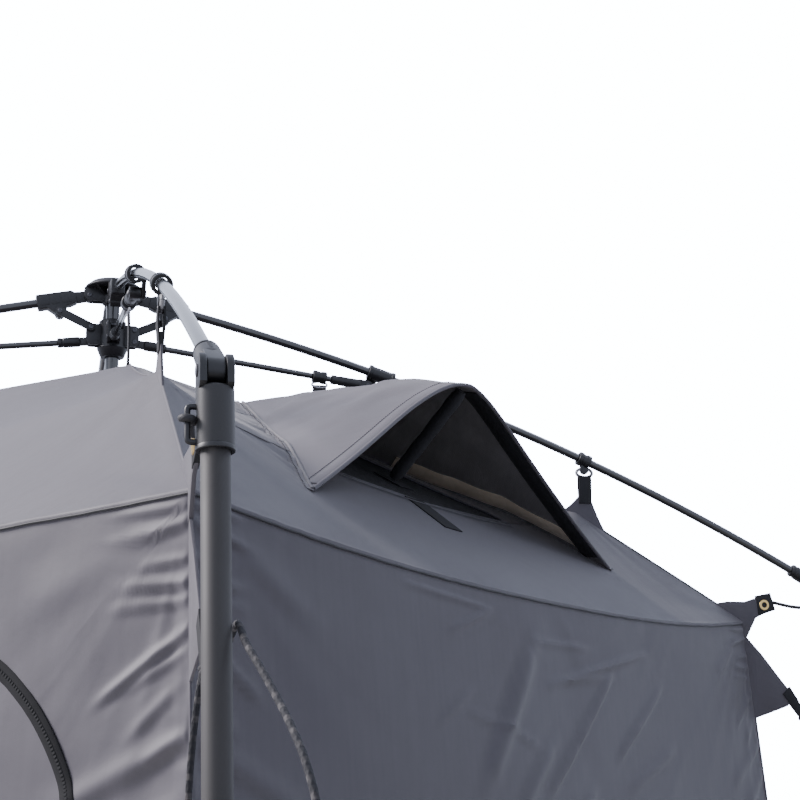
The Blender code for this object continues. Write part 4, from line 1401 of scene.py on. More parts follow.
def repeated(
    name: str, path: np.ndarray, facing: np.ndarray, unit_shape: Shape, spacing: float,
    finish: Finish, lengthways: Optional[Point] = None,
) -> Shape:
    """Set copies of a small shape along a path, or at given places, with geometry nodes.

    Args:
        name: Name of the tree.
        path: Points of the path, or the places themselves where the spacing is 0.
        facing: Direction that a copy's z axis takes at each point.
        unit_shape: Shape to repeat, with x along the path and z away from the surface.
        spacing: Distance between copies along the path; 0 sets one at each place.
        finish: Finish of the copies.
        lengthways: Direction that a copy's x axis turns to, where the spacing is 0.

    Returns:
        The copies as one shape.
    """
    source = bpy.data.meshes.new(f"{name}_path")
    edges = [(i, i + 1) for i in range(len(path) - 1)] if spacing > 0 else []
    source.from_pydata([tuple(p) for p in path], edges, [])
    layer = source.attributes.new("facing", "FLOAT_VECTOR", "POINT")
    layer.data.foreach_set("vector", np.asarray(facing, float).ravel())
    carrier = bpy.data.objects.new(f"{name}_path", source)
    single = bpy.data.objects.new(f"{name}_single", unit_shape.mesh(f"{name}_single"))
    for made in (carrier, single):
        bpy.context.scene.collection.objects.link(made)
    tree = bpy.data.node_groups.new(name, "GeometryNodeTree")
    kinds = {
        "Geometry": "Geometry", "Single": "Object", "Spacing": "Float", "Lengthways": "Vector",
        "Finish": "Material",
    }
    for label, kind in kinds.items():
        tree.interface.new_socket(label, in_out="INPUT", socket_type=f"NodeSocket{kind}")
    tree.interface.new_socket("Geometry", in_out="OUTPUT", socket_type="NodeSocketGeometry")
    graph = Graph(tree)
    start, end = tree.nodes.new("NodeGroupInput"), tree.nodes.new("NodeGroupOutput")
    copied = graph.node("GeometryNodeObjectInfo", {"Object": start.outputs["Single"]})
    away = graph.node("GeometryNodeInputNamedAttribute", data_type="FLOAT_VECTOR")
    away.inputs["Name"].default_value = "facing"
    if spacing > 0:
        curve = graph.node("GeometryNodeMeshToCurve", {"Mesh": start.outputs["Geometry"]})
        spots = graph.node(
            "GeometryNodeCurveToPoints",
            {"Curve": curve.outputs[0], "Length": start.outputs["Spacing"]},
            mode="LENGTH",
        )
        places, lengthways_out = spots.outputs["Points"], spots.outputs["Tangent"]
    else:
        places, lengthways_out = start.outputs["Geometry"], start.outputs["Lengthways"]
    align = "FunctionNodeAlignRotationToVector"
    turn = graph.node(align, {"Vector": away.outputs["Attribute"]}, axis="Z")
    if spacing > 0 or lengthways is not None:
        inputs = {"Rotation": turn.outputs[0], "Vector": lengthways_out}
        turn = graph.node(align, inputs, axis="X", pivot_axis="Z")
    copies = graph.node(
        "GeometryNodeInstanceOnPoints",
        {"Points": places, "Instance": copied.outputs["Geometry"], "Rotation": turn.outputs[0]},
    )
    real = graph.node("GeometryNodeRealizeInstances", {"Geometry": copies.outputs[0]})
    dressed = graph.node(
        "GeometryNodeSetMaterial", {"Geometry": real.outputs[0], "Material": start.outputs["Finish"]}
    )
    graph.feed(end.inputs["Geometry"], dressed.outputs[0])
    modifier = carrier.modifiers.new(name, "NODES")
    modifier.node_group = tree
    sockets = {
        item.name: item.identifier for item in tree.interface.items_tree if item.in_out == "INPUT"
    }
    modifier[sockets["Single"]] = single
    modifier[sockets["Spacing"]] = float(spacing)
    modifier[sockets["Lengthways"]] = tuple(float(v) for v in (lengthways or (1.0, 0.0, 0.0)))
    modifier[sockets["Finish"]] = finish.material()
    bpy.context.view_layer.update()
    evaluated = carrier.evaluated_get(bpy.context.evaluated_depsgraph_get())
    mesh = bpy.data.meshes.new_from_object(evaluated)
    flat = np.empty(len(mesh.vertices) * 3)
    mesh.vertices.foreach_get("co", flat)
    result = Shape()
    result.add(flat.reshape(-1, 3), [tuple(face.vertices) for face in mesh.polygons])
    for leftover in (carrier, single):
        bpy.data.objects.remove(leftover)
    return result


def stitch_shape() -> Shape:
    """Return one short stitch that lies along x.

    Returns:
        Shape of the stitch.
    """
    length, radius = 2.6 * MM, 0.32 * MM
    stitch = Shape()
    span = np.linspace(-length / 2, length / 2, 4)
    lift = radius * np.array((0.0, 1.0, 1.0, 0.0))
    stitch.tube(np.stack((span, span * 0, lift), axis=1), radius, sides=5)
    return stitch


@dataclass
class Cabin:
    """Cloth cabin: roof, walls, door and vent."""

    thickness: float = 0.8 * MM
    seam_drop: float = 3 * MM
    wall_lean: float = math.radians(8.5)
    roof_steep: float = 0.447
    leg_anchor: tuple[float, float] = (0.690, 0.95)
    keep: float = 0.10
    tab_keep: float = 0.35

    def wall_fold(self, side: Side, hand: int) -> Fold:
        """Return how a half wall gathers towards its leg.

        Args:
            side: Side of the tent.
            hand: -1 for the half at negative y of the side frame, +1 for the other.

        Returns:
            The fold.
        """
        axis = (-math.sin(self.wall_lean), -hand * math.cos(self.wall_lean), 0.0)
        reach, height = self.leg_anchor
        anchor = (reach, reach * hand, height)
        return Fold(world_axis(side.turn, axis), world_axis(side.turn, anchor), self.keep)

    def roof_fold(self, side: Side, hand: int) -> Fold:
        """Return how half a side of the roof gathers towards its hip.

        Args:
            side: Side of the tent.
            hand: -1 for the half at negative y of the side frame, +1 for the other.

        Returns:
            The fold.
        """
        hip_at = FORM.strap_levels[1]
        anchor = (hip_at * math.sqrt(2), 0.0, FORM.hip_height(hip_at))
        return rib_fold(side.corner(hand), hand, self.roof_steep, anchor, self.keep)

    def tab_fold(self, corner: Corner) -> Fold:
        """Return how a corner tab gathers towards its leg."""
        turn = corner.turn
        return Fold(world_axis(turn, (1, 0, 0)), world_axis(turn, TAB_TIP), self.tab_keep)

    def build(self) -> None:
        """Make every cloth piece."""
        for index, side in enumerate(Side):
            for hand in (-1, 1):
                self.make_roof_half(side, hand, index)
                self.make_wall_half(side, hand, index)
        for corner in Corner:
            self.make_corner_tabs(corner)
        Door().build(self)
        Vent().build()

    def make_roof_half(self, side: Side, hand: int, index: int) -> None:
        """Half of the roof over one side, from the hip to the middle of the side.

        Args:
            side: Side of the tent.
            hand: -1 for the half at negative y of the side frame, +1 for the other.
            index: Number of the side.
        """
        label = side.corner(hand).label
        columns, rows = (150, 112) if side is Side.RIGHT else (92, 58)
        levels = np.linspace(1.5 * MM, EAVE_HALF, columns)
        start = np.zeros(columns)
        if side is Side.RIGHT:
            hole = (0.2684, 0.2700, 0.4050, 0.4066)
            levels = np.unique(np.concatenate((levels, hole)))
            start = np.interp(levels, hole, (0.0, 0.045, 0.170, 0.0))
        share = 1 - (1 - np.linspace(0, 1, rows)) ** 1.25
        reach = start[None, :] + (levels - start)[None, :] * share[:, None]
        along = reach * hand
        out = np.broadcast_to(levels, reach.shape)
        points = np.stack((out, along, FORM.roof(out, along, index)), axis=2)
        lip_rows = []
        for drop, stand in ((0.8 * MM, 1.2 * MM), (2.0 * MM, 1.5 * MM), (self.seam_drop, 1.4 * MM)):
            lip = points[:, -1].copy()
            lip[:, 2] -= drop
            lip[:, 0] = FORM.wall(lip[:, 1], lip[:, 2], index) + stand
            lip_rows.append(lip)
        points = np.concatenate((points, np.stack(lip_rows, axis=1)), axis=1)
        if hand < 0:
            points = points[::-1]
        shape = Shape()
        shape.cloth(points, along_grid(points), self.thickness, 0, 1)
        # Thin dark tube just under the lip's edge on the wall: a painted shadow line where the lip
        # overhangs
        shape.tube(points[:, -1] + shift(-0.5, 0.0, -0.7), 0.8 * MM, sides=6, slot=2)
        if hand > 0:
            ridge = np.linspace(4 * MM, EAVE_HALF - 2 * MM, 70)
            height = FORM.roof(ridge, ridge, index) + 0.6 * MM
            shape.tube(np.stack((ridge, ridge, height), axis=1), 0.9 * MM, sides=8, slot=0)
        settle(
            f"roof_{side.label}_{'high' if hand > 0 else 'low'}", shape.placed(side.turn),
            [CABIN_CLOTH, LINING_CLOTH, DARK_THREAD_AND_SHADOW_LINE], f"rib_{label}", [f"roof_{label}"],
            self.roof_fold(side, hand), 50.0, Cut.of(points),
        )

    def make_wall_half(self, side: Side, hand: int, index: int) -> None:
        """Half of a wall, from its corner to its middle.

        Args:
            side: Side of the tent.
            hand: -1 for the half at negative y of the side frame, +1 for the other.
            index: Number of the side.
        """
        label = side.corner(hand).label
        if side is Side.FRONT:
            reach, z = Door().surround()
        else:
            v = 1 - (1 - np.linspace(0, 1, 230)) ** 1.9
            share = 1 - (1 - np.linspace(0, 1, 130)) ** 1.25
            top = FORM.wall_top(share, index)[None, :]
            z = HEM_Z + (top - HEM_Z) * v[:, None]
            reach = share[None, :] * FORM.half(z)
        along = reach * hand
        points = np.stack((FORM.wall(along, z, index), along, z), axis=2)
        if hand < 0:
            points = points[:, ::-1]
        shape = Shape()
        shape.cloth(points, points[:, :, 1:3], self.thickness, 0, 1)
        self.add_hem(shape, hand, index)
        if hand > 0:
            z = np.linspace(HEM_Z + 2 * MM, EAVE_CORNER_Z - 6 * MM, 120)
            half = FORM.half(z) + 0.4 * MM
            shape.tube(np.stack((half, half, z), axis=1), 1.1 * MM, sides=10, slot=0)
        settle(
            f"wall_{side.label}_{'high' if hand > 0 else 'low'}", shape.placed(side.turn),
            [CABIN_CLOTH, LINING_CLOTH], f"leg_{label}", [f"wall_{label}"],
            self.wall_fold(side, hand), 50.0, Cut.of(points),
        )

    def add_hem(self, shape: Shape, hand: int, index: int) -> None:
        """Add the turned-up hem along the foot of a half wall.

        Args:
            shape: Shape of the half wall.
            hand: -1 for the half at negative y of the side frame, +1 for the other.
            index: Number of the side.
        """
        z = HEM_Z + 9 * MM
        along = np.linspace(1 * MM, FORM.half(z) - 3 * MM, 70) * hand
        heights = np.full_like(along, z)
        out = FORM.wall(along, heights, index)
        path = np.stack((out + 0.1 * MM, along, heights), axis=1)
        facing = np.tile((1.0, 0.0, SPLAY), (len(path), 1))
        band(shape, path, facing, 17 * MM, 0.7 * MM, slot=0)

    def make_corner_tabs(self, corner: Corner) -> None:
        """Eave tab with its eyelet, and the guy tab below it, at one corner.

        Args:
            corner: Corner of the tent.
        """
        shape = Shape()

        def edge(z: float) -> tuple[float, float]:
            """Return the outline point on the corner seam at a height."""
            return FORM.half(z) * math.sqrt(2) - 1 * MM, z

        eave = [
            edge(1.868), (0.7725, 1.870), (0.7865, 1.895), (0.8000, 1.901), (0.8060, 1.923),
            (0.7910, 1.921), (0.7720, 1.915), (0.7480, 1.915), (0.7300, 1.912), (0.7300, 1.904),
            (0.7640, 1.880),
        ]
        guy = [
            edge(1.876), edge(1.771), (0.800, 1.778), (0.824, 1.786),
            (TAB_TIP[0] - 3 * MM, TAB_TIP[2] - 4 * MM), (TAB_TIP[0] - 1 * MM, TAB_TIP[2] + 4 * MM),
            (0.814, 1.822), (0.792, 1.850),
        ]
        patch = [(0.7900, 1.8975), (0.8135, 1.9050), (0.8075, 1.9265), (0.7875, 1.9225)]
        webbing = [
            (0.8180, 1.8010), (0.8270, 1.7880), (0.8384, 1.7736), (0.8466, 1.7786), (0.8372, 1.7960),
            (0.8280, 1.8100),
        ]
        shape.plate(guy, 1.0, 0.4)
        shape.plate(eave, 1.5, 0.5)
        shape.plate(patch, 2.1, 0.5, slot=1)
        eye = np.array((0.798, 0.0, EAVE_CORNER_Z + 26 * MM))
        rim = mm((0.0, 3.2), (0.9, 3.6), (1.1, 5.0), (0.7, 6.4), (0.0, 6.8), (0.0, 3.2))
        for way in (-1, 1):
            shape.turned(eye + shift(y=2.0 * way), SIDEWAYS * way, rim, 28, slot=2)
        hook = KNUCKLE + LEG_DOWN * 27 * MM - SIDEWAYS * 15 * MM
        loop = [eye + shift(*step) for step in ((0, 3, 0), (4, 3.4, 3), (9, 1.5, 4.5))]
        loop.append(eye * 0.5 + hook * 0.5 + shift(z=-1.5))
        for step in ((-6, 2, 0), (-1.5, -3, -0.5), (3.2, -1.2, -1), (2.4, 2.6, -1.5), (-4, 3.4, -2)):
            loop.append(hook + shift(*step))
        shape.tube(smooth_path(loop, 1.2 * MM), 2.2 * MM, sides=10, slot=3)
        shape.plate(webbing, 1.9, 0.4, slot=1)
        seam = [(p[0], 1.1 * MM, p[1]) for p in (edge(1.784), (0.800, 1.786), (0.822, 1.793))]
        line = smooth_path(seam, 4 * MM)
        sideways = np.tile(SIDEWAYS, (len(line), 1))
        label = corner.label
        stitches = repeated(
            f"tab_stitches_{label}", line, sideways, stitch_shape(), 3.6 * MM, THREAD
        )
        shape.take(stitches, 4)
        settle(
            f"corner_tabs_{label}", shape.placed(corner.turn),
            [CABIN_CLOTH, WEBBING, BRASS, ELASTIC, THREAD], f"leg_{label}",
            [f"wall_{label}"], self.tab_fold(corner), 40.0,
        )


@dataclass
class Door:
    """Door leaf and zip in the front wall, in the front side's frame."""

    half: float = 0.475
    top_z: float = 1.815
    sill_z: float = 0.060
    corner: float = 0.170
    tape: float = 11 * MM
    tooth_gap: float = 2.6 * MM
    over_top: float = 0.62
    over_bend: float = 0.76
    slider_at: float = 0.80

    @property
    def shoulder(self) -> float:
        """Height where the doorway's round corners start."""
        return self.top_z - self.corner

    def width(self, z: np.ndarray) -> np.ndarray:
        """Return the half width of the doorway at a height."""
        rise = np.clip(z - self.shoulder, 0.0, self.corner)
        return self.half - self.corner + np.sqrt(np.maximum(self.corner**2 - rise**2, 0.0))

    def outline(self, inset: float = 0.0) -> np.ndarray:
        """Return half of the doorway's outline, from the top's middle to the sill's.

        Args:
            inset: How far inside the doorway the outline runs.

        Returns:
            Rows of distance from the middle and height.
        """
        half, top = self.half - inset, self.top_z - inset
        radius, sill = self.corner - inset, self.sill_z + inset
        angles = np.radians(np.concatenate((np.linspace(90, 46, 14)[:-1], np.linspace(46, 0, 110))))
        bend = np.stack((np.cos(angles), np.sin(angles)), axis=1)
        upper, lower = np.linspace(top - radius, 1.45, 60)[1:], np.linspace(1.45, sill, 90)[1:]
        heights = np.concatenate((upper, lower))
        return np.vstack((
            np.stack((np.linspace(0, half - radius, 16)[:-1], np.full(15, top)), axis=1),
            np.array((half - radius, top - radius)) + radius * bend,
            np.stack((np.full(len(heights), half), heights), axis=1),
            np.stack((np.linspace(half, 0, 24)[1:], np.full(23, sill)), axis=1),
        ))

    def surround(self) -> tuple[np.ndarray, np.ndarray]:
        """Return the wall round the doorway as a grid of distances and heights.

        Returns:
            Distances from the middle of the wall, and heights.
        """
        inner = self.outline()
        outer = np.empty_like(inner)
        shoulder, straight = self.shoulder, self.half - self.corner
        for i, (reach, z) in enumerate(inner):
            if z >= shoulder and reach < self.half:
                turned_by = math.atan2(max(reach - straight, 0.0), max(z - shoulder, 1e-9))
                if turned_by == 0:
                    along_top = self.over_top * (reach / straight)
                else:
                    along_top = self.over_top + self.over_bend * (turned_by / (math.pi / 2))
                if along_top <= 1.0:
                    outer[i] = (along_top * EAVE_HALF, np.nan)
                else:
                    fall = EAVE_CORNER_Z - self.top_z + self.corner
                    drop = (along_top - 1.0) * fall / (self.over_bend / 2)
                    outer[i] = (np.nan, EAVE_CORNER_Z - drop)
            elif reach >= self.half - 1e-9:
                share = (z - self.sill_z) / (shoulder - self.sill_z)
                outer[i] = (np.nan, HEM_Z + share * (shoulder - HEM_Z))
            else:
                outer[i] = (reach / self.half * FORM.half(HEM_Z), HEM_Z)
        corner_top = FORM.wall_top(1.0, 0)
        for i, (reach, z) in enumerate(outer):
            if np.isnan(z):
                outer[i, 1] = FORM.wall_top(reach / EAVE_HALF, 0)
            elif np.isnan(reach):
                level = min(z, corner_top)
                outer[i] = (FORM.half(level), level)
        t = 1 - (1 - np.linspace(0, 1, 44)) ** 1.5
        reach = inner[:, 0][:, None] * (1 - t) + outer[:, 0][:, None] * t
        z = inner[:, 1][:, None] * (1 - t) + outer[:, 1][:, None] * t
        return reach[::-1], z[::-1]

    def build(self, cabin: Cabin) -> None:
        """Make the leaf, the zip and its slider.

        Args:
            cabin: Cabin that the door belongs to.
        """
        z_low = np.linspace(self.sill_z + 0.5 * MM, self.shoulder, 96)[:-1]
        rise = np.sin(np.radians(np.linspace(0, 90, 34))) * self.corner
        z = np.concatenate((z_low, self.shoulder + rise - 0.5 * MM))
        along = np.linspace(-1, 1, 130)[None, :] * (self.width(z) - 0.5 * MM)[:, None]
        heights = np.broadcast_to(z[:, None], along.shape)
        points = np.stack((FORM.wall(along, heights, 0), along, heights), axis=2)
        shape = Shape()
        shape.cloth(points, points[:, :, 1:3], cabin.thickness, 0, 1)
        half_line = self.outline(2 * MM)
        line = np.vstack((half_line[::-1] * (-1, 1), half_line[1:]))
        out = FORM.wall(line[:, 0], line[:, 1], 0)
        path = np.stack((out + 0.1 * MM, line[:, 0], line[:, 1]), axis=1)
        facing = np.tile((1.0, 0.0, SPLAY), (len(path), 1))
        band(shape, path, facing, self.tape, 0.8 * MM, slot=2)
        tooth = Shape()
        tooth.plate(mm((-0.8, 0.0), (0.8, 0.0), (0.6, 0.3), (-0.6, 0.3)), 1.1)
        coil = path + shift(x=0.9)
        teeth = repeated("door_zip_teeth", coil, facing, tooth, self.tooth_gap, ZIP_TEETH)
        shape.take(teeth, 3)
        self.add_slider(shape, path)
        settle(
            "door_leaf", shape.placed(Side.FRONT.turn),
            [CABIN_CLOTH, LINING_CLOTH, ZIP_TAPE, ZIP_TEETH], "leg_front_left",
            ["door_panel"], cabin.wall_fold(Side.FRONT, -1), 50.0, Cut.of(points),
        )

    def add_slider(self, shape: Shape, path: np.ndarray) -> None:
        """Add the slider and its pull near the foot of the door's right side.

        Args:
            shape: Shape of the door.
            path: Points along the zip.
        """
        low = path[int(len(path) * self.slider_at)] + shift(x=1.0)
        shape.rod(low + shift(z=-7), low + shift(z=7), 4.2 * MM, 3.2 * MM, slot=3)
        pull = [low + shift(*step) for step in ((4, 0, -4), (5.5, 1, -14), (4, 2, -34))]
        shape.sweep(smooth_path(pull, 3 * MM), rectangle(2.2, 0.8), up=(0, 1, 0), slot=3)


@dataclass
class Vent:
    """Hooded vent on the right slope, with its net, prop and patches."""

    rear_x: float = 0.187
    foot_x: float = 0.469
    apex_x: float = 0.454
    half: float = 0.298
    rear_half: float = 8 * MM
    rise: float = 0.155
    rounding: float = 0.26
    steep: float = 0.504
    keep: float = 0.08
    anchor: tuple[float, float, float] = (0.553, 0.0, 2.016)
    outward: tuple[float, float, float] = (0.45, 0.0, 0.9)
    patch_x: float = 0.366
    body: str = "rib_back_right"

    def roof(self, x: np.ndarray, y: np.ndarray) -> np.ndarray:
        """Return the roof's height under the vent."""
        return FORM.roof(np.asarray(x, float), np.asarray(y, float), 1)

    def point(self, across: np.ndarray, x: np.ndarray) -> np.ndarray:
        """Return points on the hood's underside.

        Args:
            across: Share of the way across, from -1 to 1.
            x: Distance out from the middle of the tent.

        Returns:
            Points, in the last axis.
        """
        share = (x - self.rear_x) / (self.foot_x - self.rear_x)
        width = self.rear_half + (self.half - self.rear_half) * share
        bend = self.rounding
        fall = (np.hypot(across, bend) - bend) / (math.hypot(1, bend) - bend)
        y = width * across
        slack = 3.0 * MM * soft_noise(across * 2.3 + 4, share * 2.1 + 7, 97) * (1 - across**2) * share
        rumple = 2.8 * MM * soft_noise(y / 0.030 + 9, x / 0.022 + 4, 99) * smooth_step(share, 0.05, 0.3)
        taut = np.sqrt(np.maximum(1 - np.abs(across), 0.0))
        slack = slack + rumple * taut * (1 - smooth_step(share, 0.75, 0.95))
        sag = -6 * MM * np.sin(np.pi * np.clip(np.abs(across), 0, 1)) * share
        z = self.roof(x, y) + 0.9 * MM + self.rise * (1 - fall) * share + slack + sag
        return np.stack((x, y, z), axis=-1)

    def rim_x(self, across: np.ndarray) -> np.ndarray:
        """Return how far out the hood's rim lies."""
        return self.foot_x - (self.foot_x - self.apex_x) * (1 - across**2)

    def fold(self) -> Fold:
        """Return how the vent gathers when the frame folds."""
        return rib_fold(Corner.BACK_RIGHT, 1, self.steep, self.anchor, self.keep)

    def build(self) -> None:
        """Make the hood, its trim, the net, the patches and the prop."""
        self.make_hood()
        self.make_net()
        self.make_patches()
        self.make_prop()

    def make_hood(self) -> None:
        """Hood with its bound rim, webbing, side piping and stitches."""
        across = np.sin(np.linspace(-1, 1, 91) * math.pi / 2)
        rows = np.linspace(0.0, 1.0, 46) ** 0.9
        x = self.rear_x + (self.rim_x(across) - self.rear_x)[None, :] * rows[:, None]
        outer = self.point(np.broadcast_to(across, x.shape), x).transpose(1, 0, 2) + shift(z=1.4)
        shape = Shape()
        shape.cloth(outer, along_grid(outer), 1.2 * MM, 0, 1)
        fine = np.linspace(-0.997, 0.997, 150)
        rim = self.rim_x(fine)
        facing = self.facing(fine, rim)
        shape.tube(self.point(fine, rim) + facing * 0.8 * MM, 2.0 * MM, sides=8, slot=0)
        hem_in = self.point(fine, rim - 8 * MM)
        band(shape, hem_in + facing * 1.3 * MM, facing, 14 * MM, 0.7 * MM, slot=0)
        stitched = self.point(fine, rim - 13.5 * MM) + facing * 2.1 * MM
        self.add_stitches(shape, "hood_rim_stitches", stitched, facing)
        for low, high in ((-0.97, -0.06), (0.06, 0.97)):
            run = np.linspace(low, high, 80)
            under = self.point(run, self.rim_x(run) - 11 * MM)
            out = self.facing(run, self.rim_x(run))
            band(shape, under - out * 0.1 * MM, -out, 19 * MM, 1.3 * MM, slot=2)
        for way in (-1, 1):
            self.add_side(shape, way)
        settle(
            "vent_hood_cloth", shape,
            [HOOD_CLOTH, LINING_CLOTH, WEBBING, DARK_THREAD_AND_SHADOW_LINE, PIPING, TAPE_WITH_PAINTED_LIGHT_THROUGH], self.body,
            ["vent_hood"], self.fold(), 50.0, Cut.of(outer, 0.019),
        )

    def add_stitches(self, shape: Shape, name: str, path: np.ndarray, facing: np.ndarray) -> None:
        """Add a row of dark stitches along a path."""
        shape.take(repeated(name, path, facing, stitch_shape(), 4.2 * MM, DARK_THREAD_AND_SHADOW_LINE), 3)

    def add_side(self, shape: Shape, way: int) -> None:
        """Add the piping, flange, stitches and seam tape along one side of the hood; the tape's pale beige
        is painted light shining through the cloth.

        Args:
            shape: Shape of the hood.
            way: +1 for the far side, -1 for the near one.
        """
        x_side = self.rear_x + (self.foot_x - self.rear_x) * np.linspace(0.02, 1.0, 70)
        side = self.point(np.full_like(x_side, way * 1.0), x_side)
        shape.tube(side + shift(0, way * 1.5, 0.9), 1.6 * MM, sides=8, slot=4)
        flange = side + shift(y=way * 7)
        flange[:, 2] = self.roof(flange[:, 0], flange[:, 1]) + 0.2 * MM
        up = np.tile(self.outward, (len(side), 1))
        band(shape, flange, up, 12 * MM, 0.6 * MM, slot=0)
        name = f"hood_side_stitches_{'far' if way > 0 else 'near'}"
        self.add_stitches(shape, name, flange + shift(0, way * 3, 1.0), up)
        # Band on the lining: its pale beige is painted light shining through the cloth
        tape_x = np.linspace(0.30, self.foot_x - 14 * MM, 60)
        across = np.full_like(tape_x, way * 0.90)
        lining, inward = self.point(across, tape_x), self.facing(across, tape_x)
        band(shape, lining - inward * 0.2 * MM, -inward, 22 * MM, 0.6 * MM, slot=5)

    def facing(self, across: np.ndarray, x: np.ndarray) -> np.ndarray:
        """Return the hood's outward direction at points of it.

        Args:
            across: Places across the hood, -1 to 1 between its sides.
            x: Places along it.

        Returns:
            One direction a point.
        """
        here = self.point(across, x)
        by_x = self.point(across, x - 1 * MM) - here
        by_across = self.point(np.clip(across + 0.004, -1.2, 1.2), x) - here
        normal = np.cross(by_across, by_x)
        normal /= np.linalg.norm(normal, axis=-1)[..., None]
        return normal * np.where(normal[..., 2:3] < 0, -1.0, 1.0)

    def make_net(self) -> None:
        """Net over the hole, with its bound edge."""
        x = np.linspace(0.258, 0.424, 40)
        width = np.interp(x, (0.258, 0.270, 0.405, 0.424), (0.052, 0.058, 0.182, 0.186))
        y = np.linspace(-1, 1, 61)[:, None] * width[None, :]
        out = np.broadcast_to(x, y.shape)
        points = np.stack((out, y, self.roof(out, y) - 1.6 * MM), axis=2)
        shape = Shape()
        shape.cloth(points, along_grid(points), 0.7 * MM, 0)
        corners = [(0.266, -0.050), (0.410, -0.176), (0.410, 0.176), (0.266, 0.050), (0.266, -0.050)]
        for first, second in zip(corners, corners[1:]):
            t = np.linspace(0, 1, 30)
            px, py = (a + (b - a) * t for a, b in zip(first, second))
            path = np.stack((px, py, self.roof(px, py) + 0.1 * MM), axis=1)
            band(shape, path, np.tile(self.outward, (30, 1)), 8 * MM, 0.5 * MM, slot=1)
        settle(
            "vent_net", shape, [NET, CABIN_CLOTH], self.body, ["vent_mesh"],
            self.fold(), 50.0, Cut.of(points),
        )

    def make_patches(self) -> None:
        """Landing patch of the prop on the net and fastening patch on the roof."""
        patches = Shape()
        for centre, size, height in (
            ((self.patch_x, 0.0), (30 * MM, 26 * MM), -0.8 * MM),
            ((0.430, -0.034), (43 * MM, 34 * MM), 0.2 * MM),
        ):
            grid_x = centre[0] + np.linspace(-0.5, 0.5, 8) * size[0]
            grid_y = centre[1] + np.linspace(-0.5, 0.5, 14) * size[1]
            gx, gy = np.meshgrid(grid_x, grid_y)
            top = np.stack((gx, gy, self.roof(gx, gy) + height + 1.2 * MM), axis=2)
            patches.cloth(top, along_grid(top), 1.0 * MM)
        settle(
            "vent_patches", patches, [HOOK_PATCH], self.body, ["vent_prop"], self.fold()
        )

    def make_prop(self) -> None:
        """Padded stick between the patch and the hood's rim."""
        head = self.point(np.float64(0.0), np.float64(0.444)) - shift(z=5.0)
        foot = np.array((self.patch_x, 0.0, float(self.roof(self.patch_x, 0.0)) + 2.6 * MM))
        aim = unit(head - foot)
        path = [foot + aim * s for s in np.linspace(0, float(np.linalg.norm(head - foot)), 16)]
        sizes = [0.75] + [1.0 + 0.05 * math.sin(i * 1.7) for i in range(14)] + [0.75]
        angles = np.linspace(0, 2 * math.pi, 24, endpoint=False)
        squared = np.stack((np.cos(angles), np.sin(angles)), axis=1)
        profile = np.array((6.8 * MM, 6.0 * MM)) * np.sign(squared) * np.abs(squared) ** 0.7
        shape = Shape()
        shape.sweep(path, profile, up=(0, 1, 0), scales=sizes)
        settle(
            "vent_prop_stick", shape, [WEBBING], self.body, ["vent_prop"], self.fold()
        )


def screw_head(radius: float) -> Shape:
    """Return a low round screw head that faces z, with a socket in it.

    Args:
        radius: Radius of the head.

    Returns:
        Shape of the head.
    """
    head = Shape()
    profile = [(0.0, radius), (0.7 * MM, radius), (1.1 * MM, radius * 0.8), (1.1 * MM, radius * 0.42)]
    profile += [(0.5 * MM, radius * 0.38), (0.5 * MM, 0.1 * MM)]
    head.turned((0, 0, 0), (0, 0, 1), profile, 14)
    return head


def fasten(
    shape: Shape, name: str, spots: Sequence[tuple[Point, Point]], slot: int, radius: float = 2.8 * MM
) -> None:
    """Set screw heads on a shape.

    Args:
        shape: Shape that they sit on.
        name: Name of the tree that repeats them.
        spots: Place and facing direction of each head.
        slot: Material slot.
        radius: Radius of a head.
    """
    places, facing = (np.array(values, float) for values in zip(*spots))
    shape.take(repeated(name, places, facing, screw_head(radius), 0.0, DARK_METAL), slot)


